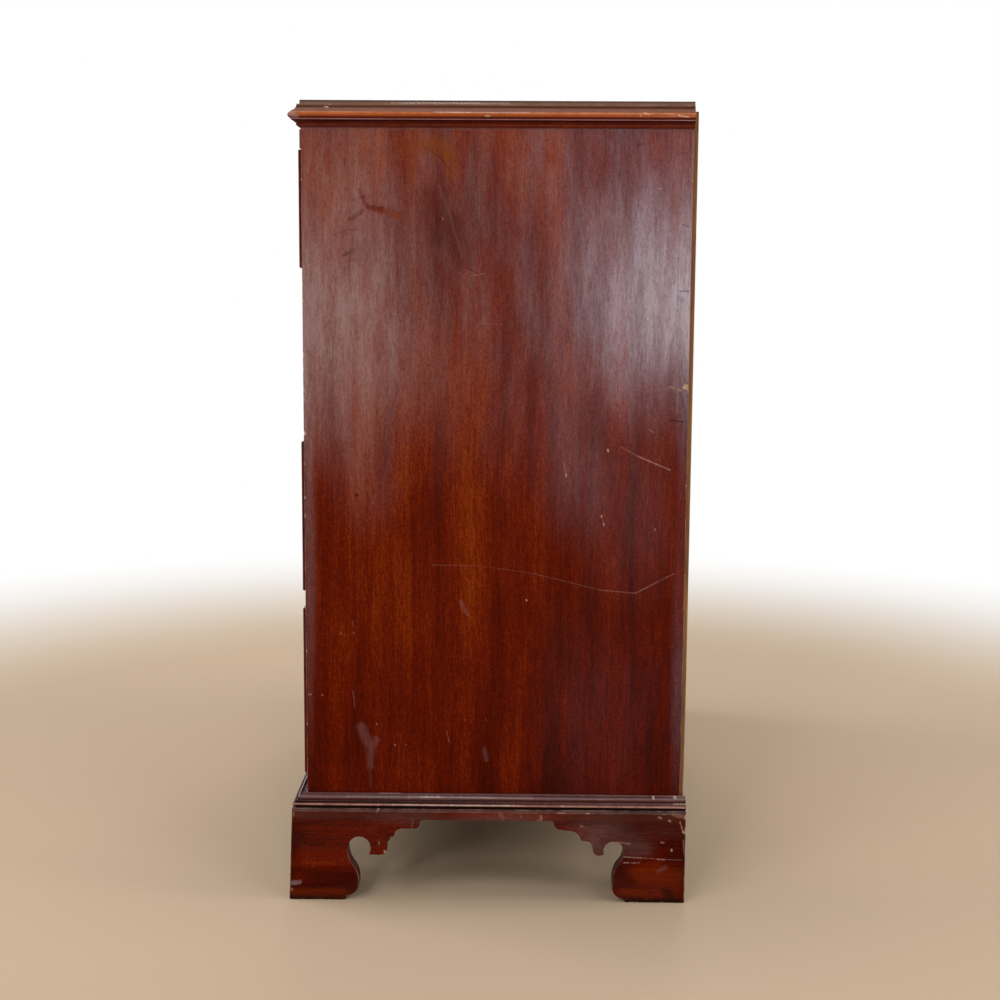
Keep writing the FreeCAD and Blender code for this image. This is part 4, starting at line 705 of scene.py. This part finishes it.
brass = material("agedBrass", metalLook({
    "cloud": 55, "tarnish": 0.85, "deep": (0.46, 0.27, 0.080), "bright": (0.66, 0.45, 0.17),
    "stain": (0.115, 0.062, 0.022), "dull": 0.35, "rough": 0.24}))
lockBrass = material("dullLockBrass", metalLook({
    "cloud": 40, "tarnish": 1.0, "deep": (0.36, 0.22, 0.07), "bright": (0.52, 0.36, 0.14),
    "stain": (0.075, 0.042, 0.020), "dull": 0.45, "rough": 0.36}))
rustyIron = material("rustyIron", metalLook({
    "cloud": 260, "tarnish": 1.0, "deep": (0.10, 0.075, 0.060), "bright": (0.20, 0.16, 0.13),
    "stain": (0.095, 0.036, 0.015), "dull": 0.9, "rough": 0.55}))
print("materials ready")


joinery = {
    "weld": 2e-6,  # metres, within which corners of the frame's triangles are one
    "metalWeld": 1e-6,
    "flat": 0.3,  # degrees, below which neighbouring triangles become one face
    "corner": 32,  # degrees, from which an edge is softened
    "crease": 40,  # degrees, from which shading stays sharp
    "metalCrease": 38,
    "splay": 0.0036,  # how far the front feet stand forward at the floor
    "splayStart": -0.115,  # along Y
    "splayEase": 0.02,
}


def side(node, axis, end):  # how far a node reaches: end 0 is its low side, 1 its high side
    return round(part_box(node)[end]["xyz".index(axis)], 4)


sideFace, topFace = side("side_right", "x", 1), side("top_board", "z", 1)
frontFace, plinthFront = side("side_right", "y", 0), side("plinth_front", "y", 0)
plinthFace, plinthTop = side("plinth_right", "x", 1), side("plinth_right", "z", 1)
frontEdge = [  # height, and size along X, Y and Z, of the chips on the right side's front edge
    (0.7620, (0.0012, 0.0010, 0.0016)), (0.6552, (0.0014, 0.0014, 0.0032)),
    (0.6478, (0.0010, 0.0012, 0.0020)), (0.6398, (0.0014, 0.0014, 0.0022)),
    (0.5843, (0.0015, 0.0014, 0.0036)), (0.5690, (0.0010, 0.0011, 0.0050)),
    (0.5480, (0.0012, 0.0012, 0.0040)), (0.5366, (0.0014, 0.0012, 0.0024)),
    (0.5022, (0.0050, 0.0034, 0.0026)), (0.4700, (0.0010, 0.0010, 0.0018)),
    (0.4349, (0.0015, 0.0016, 0.0020)), (0.4158, (0.0014, 0.0014, 0.0026)),
    (0.3600, (0.0009, 0.0009, 0.0016)), (0.2700, (0.0010, 0.0012, 0.0020)),
    (0.1900, (0.0010, 0.0010, 0.0015)),
]
chips = {  # place and size of single chips
    "side_right": [((sideFace, frontFace, height), size) for height, size in frontEdge] + [
        ((sideFace + 0.0003, 0.2040, 0.5530), (0.0009, 0.0042, 0.0030))],
    "top_board": [((0.3919, -0.0020, 0.8252), (0.0010, 0.0042, 0.0009)),
                  ((0.3918, 0.1520, 0.8262), (0.0007, 0.0012, 0.0010)),
                  ((0.3834, -0.1620, 0.8372), (0.0012, 0.0014, 0.0010))],
    "base_moulding": [((0.3945, -0.1150, 0.1062), (0.0008, 0.0014, 0.0010)),
                      ((0.3945, 0.0340, 0.1062), (0.0008, 0.0016, 0.0008))],
    "plinth_right": [((plinthFace, -0.1153, 0.1018), (0.0010, 0.0016, 0.0012)),
                     ((plinthFace, 0.2130, 0.0955), (0.0014, 0.0018, 0.0034)),
                     ((plinthFace, 0.2130, 0.0800), (0.0009, 0.0012, 0.0050)),
                     ((plinthFace, -0.1410, 0.0005), (0.0020, 0.0045, 0.0016))],
}
knocks = {  # start and end of a row, count, largest size and seed of the small chips along it
    "side_right": [
        ((sideFace, 0.2075, 0.14), (sideFace, 0.2075, 0.80), 7, (0.0012, 0.0014, 0.0030), 5)],
    "side_left": [
        ((-sideFace, frontFace, 0.13), (-sideFace, frontFace, 0.80), 12, (0.0014, 0.0014, 0.0034), 8)],
    "top_board": [
        ((-0.35, -0.2041, 0.8256), (0.35, -0.2041, 0.8256), 9, (0.0042, 0.0008, 0.0010), 3),
        ((-0.3916, -0.16, 0.8256), (-0.3916, 0.18, 0.8256), 4, (0.0008, 0.0040, 0.0010), 4)],
    "base_moulding": [
        ((-0.36, -0.2070, 0.1062), (0.36, -0.2070, 0.1062), 8, (0.0026, 0.0010, 0.0010), 6)],
    "plinth_right": [
        ((plinthFace, -0.20, 0.0), (plinthFace, -0.15, 0.0), 5, (0.0016, 0.0040, 0.0020), 11),
        ((plinthFace, 0.155, 0.0), (plinthFace, 0.205, 0.0), 5, (0.0018, 0.0040, 0.0024), 12),
        ((plinthFace, -0.19, plinthTop), (plinthFace, 0.20, plinthTop), 6, (0.0007, 0.0024, 0.0006), 13)],
    "plinth_front": [
        ((-0.39, plinthFront, 0.0), (-0.34, plinthFront, 0.0), 4, (0.0040, 0.0016, 0.0022), 14),
        ((0.34, plinthFront, 0.0), (0.39, plinthFront, 0.0), 4, (0.0040, 0.0016, 0.0022), 15),
        ((-0.38, plinthFront, plinthTop), (0.38, plinthFront, plinthTop), 12, (0.0030, 0.0010, 0.0009), 16)],
    "plinth_left": [
        ((-plinthFace, -0.20, 0.0), (-plinthFace, -0.15, 0.0), 4, (0.0016, 0.0040, 0.0022), 17),
        ((-plinthFace, 0.155, 0.0), (-plinthFace, 0.205, 0.0), 4, (0.0016, 0.0040, 0.0022), 18)],
}


def chipsOf(node):
    found = list(chips.get(node, []))
    for start, end, count, size, seed in knocks.get(node, []):
        rough = random.Random(seed)
        start, end = Vector(start), Vector(end)
        found += [(start.lerp(end, rough.random()), tuple(rough.uniform(0.4, 1.0) * part for part in size))
                  for _ in range(count)]
    return found


def scooped(mesh, hollows):  # the mesh with small rough hollows taken out of it
    ball = bmesh.new()
    rough = random.Random(len(hollows))
    for place, size in hollows:
        turned = Matrix.Rotation(rough.uniform(-0.5, 0.5), 4, "XYZ"[rough.randrange(3)])
        stretched = Matrix.Translation(place) @ turned @ Matrix.Diagonal((*size, 1))
        made = bmesh.ops.create_icosphere(ball, subdivisions=2, radius=1.0, matrix=stretched)
        for vert in made["verts"]:
            vert.co += (vert.co - Vector(place)) * rough.uniform(-0.22, 0.12)
    wear = ball.faces.layers.float.new("wear")
    for face in ball.faces:
        face[wear] = 2
    balls = bpy.data.meshes.new("hollows")
    ball.to_mesh(balls)
    ball.free()
    whole, cutter = (bpy.data.objects.new("scoop", data) for data in (mesh, balls))
    scene.collection.objects.link(whole)
    scene.collection.objects.link(cutter)
    cut = whole.modifiers.new("hollows", "BOOLEAN")
    cut.object = cutter
    cut.solver = "EXACT"
    cut.use_self = True
    result = bpy.data.meshes.new_from_object(whole.evaluated_get(bpy.context.evaluated_depsgraph_get()))
    bpy.data.objects.remove(whole)
    bpy.data.objects.remove(cutter)
    return result


def started(node, weld):  # a node's shape with its triangles joined up
    bm = bmesh.new()
    bm.from_mesh(nodes[node].data)
    bmesh.ops.remove_doubles(bm, verts=bm.verts, dist=weld)
    return bm


def finished(bm, node, slots, crease):
    body, name = nodes[node]["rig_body"], node + "_finish"
    mesh = bpy.data.meshes.new(name)
    bm.to_mesh(mesh)
    bm.free()
    for made in slots:
        mesh.materials.append(made)
    hollows = chipsOf(node)
    if hollows:
        mesh = scooped(mesh, hollows)
    mesh.shade_smooth()
    mesh.set_sharp_from_angle(angle=math.radians(crease))
    piece = bpy.data.objects.new(name, mesh)
    scene.collection.objects.link(piece)
    even = piece.modifiers.new("evenNormals", "WEIGHTED_NORMAL")
    even.keep_sharp = True
    even.weight = 90
    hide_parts(node)
    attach(piece, body)


def looseParts(bm):
    seen, parts = set(), []
    for face in bm.faces:
        if face in seen:
            continue
        part, waiting = [], [face]
        seen.add(face)
        while waiting:
            here = waiting.pop()
            part.append(here)
            for edge in here.edges:
                for other in edge.link_faces:
                    if other not in seen:
                        seen.add(other)
                        waiting.append(other)
        parts.append(part)
    return parts


def longestAxis(faces):
    points = [vert.co for face in faces for vert in face.verts]
    spans = [max(p[i] for p in points) - min(p[i] for p in points) for i in range(3)]
    return "xyz"[spans.index(max(spans))]


def splayed(bm):  # the front feet stand a little forward at the floor
    for vert in bm.verts:
        share = min(max((joinery["splayStart"] - vert.co.y) / joinery["splayEase"], 0), 1)
        vert.co.y -= joinery["splay"] * share * (1 - vert.co.z / plinthTop)


def edgeKind(centre):  # the moulded edge of the top keeps its own grain on each side
    out, ahead = abs(centre.x) - sideFace, frontFace - centre.y
    if centre.z > topFace - 0.0003 and out < 0.0002 and ahead < 0.0002:
        return ("top", "x")
    if out > max(ahead, 0) - 1e-5:
        return ("nose", "y")
    return ("nose", "x") if ahead > 0 else ("top", "x")


def dressed(node, kind, arris=0.0005, along=None, pick=None, bend=None):
    bm = started(node, joinery["weld"])
    if bend:
        bend(bm)
    bmesh.ops.dissolve_limit(bm, angle_limit=math.radians(joinery["flat"]), verts=bm.verts, edges=bm.edges)
    wear = bm.faces.layers.float.new("wear")
    if arris:
        edges = [edge for edge in bm.edges if len(edge.link_faces) == 2
                 and edge.calc_face_angle(0) > math.radians(joinery["corner"])
                 and edge.calc_length() > 2 * arris]
        made = bmesh.ops.bevel(bm, geom=edges, offset=arris, offset_type="OFFSET", affect="EDGES",
                               segments=2, profile=0.5, material=-1, clamp_overlap=False)
        for face in made["faces"]:
            face[wear] = 1
    slots = []
    board = bm.faces.layers.float.new("board")
    tint = random.Random(node)
    for part in looseParts(bm):
        grain = along or longestAxis(part)
        share = tint.random()
        for face in part:
            face[board] = share
            chosen = wood(*(pick(face.calc_center_median()) if pick else (kind, grain)))
            if chosen not in slots:
                slots.append(chosen)
            face.material_index = slots.index(chosen)
    finished(bm, node, slots, joinery["crease"])


def metalCopy(node, made):
    finished(started(node, joinery["metalWeld"]), node, [made], joinery["metalCrease"])


dressed("side_right", "sideRight", arris=0.0006, along="z")
dressed("side_left", "sideLeft", arris=0.0006, along="z")
dressed("top_board", "top", arris=0.0003, along="x", pick=edgeKind)
dressed("bed_moulding", "bedMoulding", arris=0.0003)
dressed("base_moulding", "baseMoulding", arris=0.0003)
for node, grain, kind in (("plinth_front", "x", "plinth"), ("plinth_left", "y", "plinth"),
                          ("plinth_right", "y", "plinthRight")):
    dressed(node, kind, arris=0.0009, along=grain, bend=splayed)
for node in ("rail_1", "rail_2", "rail_3", "bottom_rail", "slide_rail", "slide_lipping"):
    dressed(node, "rail", along="x")
dressed("slide_board", "slide", along="x")
dressed("backboards", "backPine", arris=0.0006, along="z")
for node in ("dustboards", "bottom_board", "top_frame", "rear_brackets", "glue_blocks", "drawer_stops"):
    dressed(node, "insidePine")
for number in "1234":
    drawer = "drawer_" + number
    dressed(drawer + "_front", "front", arris=0.0004, along="x")
    dressed(drawer + "_cockbeads", "bead", arris=0.0002)
    for part, arris, grain in (("_sides", 0.0004, "y"), ("_back", 0.0004, "x"), ("_bottom", 0.0, "x")):
        dressed(drawer + part, "oak", arris=arris, along=grain)
    metalCopy(drawer + "_lock", lockBrass)
    for fitting in ("_posts", "_bail_left", "_bail_right"):
        metalCopy(drawer + fitting, brass)
metalCopy("slide_knobs", brass)
metalCopy("back_nails", rustyIron)
print("pieces dressed")

studio = {
    "floor": {"Base Color": (0.59, 0.45, 0.31, 1), "Roughness": 0.9, "Specular IOR Level": 0.1},
    "half": 20,  # of the floor's width
    "clear": (0.85, 1.9),  # the floor fades to white between these distances
    "lamps": [  # place, aim, width, height, watts
        ((2.3, -1.7, 2.7), (0, 0, 0.70), 1.5, 1.2, 24),
        ((2.3, 1.9, 2.6), (0, 0, 0.70), 1.5, 1.2, 20),
        ((-0.6, -3.0, 2.2), (0, 0, 0.45), 1.8, 1.5, 48),
        ((-2.9, 0.2, 2.2), (0, 0, 0.45), 1.8, 1.5, 42),
        ((0.4, 2.9, 2.0), (0, 0, 0.45), 1.6, 1.4, 34),
        ((0.2, -0.2, 3.2), (0, 0, 0.4), 1.6, 1.6, 14),
        ((4.4, 0.66, 0.58), (0.38, 0.16, 0.60), 0.40, 0.48, 30),
        ((3.9, -1.2, 1.9), (0.38, -0.16, 0.62), 0.60, 0.80, 30),
    ],
    "air": 0.15,  # strength of the sky for light that doesn't reach the camera
}


def putFloor():
    bm = bmesh.new()
    bmesh.ops.create_grid(bm, x_segments=1, y_segments=1, size=studio["half"])
    mesh = bpy.data.meshes.new("floor")
    bm.to_mesh(mesh)
    bm.free()
    floor = bpy.data.objects.new("floor", mesh)
    scene.collection.objects.link(floor)
    made = bpy.data.materials.new("paleFloor")
    made.use_nodes = True
    tree = made.node_tree
    shader = tree.nodes["Principled BSDF"]
    for name, value in studio["floor"].items():
        shader.inputs[name].default_value = value
    start = Wire(tree)
    place = start.node("TexCoord", None, None, "Object")
    away = start.node("VectorMath", {"operation": "LENGTH"}, {0: place}, "Value")
    seen = start.node("LightPath", None, None, "Is Camera Ray").most(
        start.node("LightPath", None, None, "Is Glossy Ray"))
    white = start.node("Emission", None, {"Color": (1, 1, 1, 1), "Strength": 1.0})
    both = start.node("MixShader", None, {0: away.over(*studio["clear"]) * seen, 2: white})
    mixer = both.socket.node
    tree.links.new(shader.outputs[0], mixer.inputs[1])
    tree.links.new(both.socket, tree.nodes["Material Output"].inputs["Surface"])
    mesh.materials.append(made)


def putLamps():
    for index, (place, aim, width, height, watts) in enumerate(studio["lamps"]):
        data = bpy.data.lights.new(f"softBox{index}", "AREA")
        data.shape = "RECTANGLE"
        data.size, data.size_y = width, height
        data.energy = watts
        lamp = bpy.data.objects.new(data.name, data)
        lamp.location = place
        lamp.rotation_euler = (Vector(aim) - Vector(place)).to_track_quat("-Z", "Y").to_euler()
        scene.collection.objects.link(lamp)


def putAir():
    world = bpy.data.worlds.new("whiteAir")
    world.use_nodes = True
    scene.world = world
    tree = world.node_tree
    start = Wire(tree)
    ray = {name: start.node("LightPath", None, None, f"Is {name} Ray")
           for name in ("Camera", "Glossy", "Transmission")}
    seen = ray["Camera"].most(ray["Glossy"]).most(ray["Transmission"])
    strength = studio["air"] + seen * (1 - studio["air"])
    tree.nodes["Background"].inputs["Color"].default_value = (1, 1, 1, 1)
    tree.links.new(strength.socket, tree.nodes["Background"].inputs["Strength"])


putFloor()
putLamps()
putAir()
scene.view_settings.view_transform = "Standard"
print("stage set")
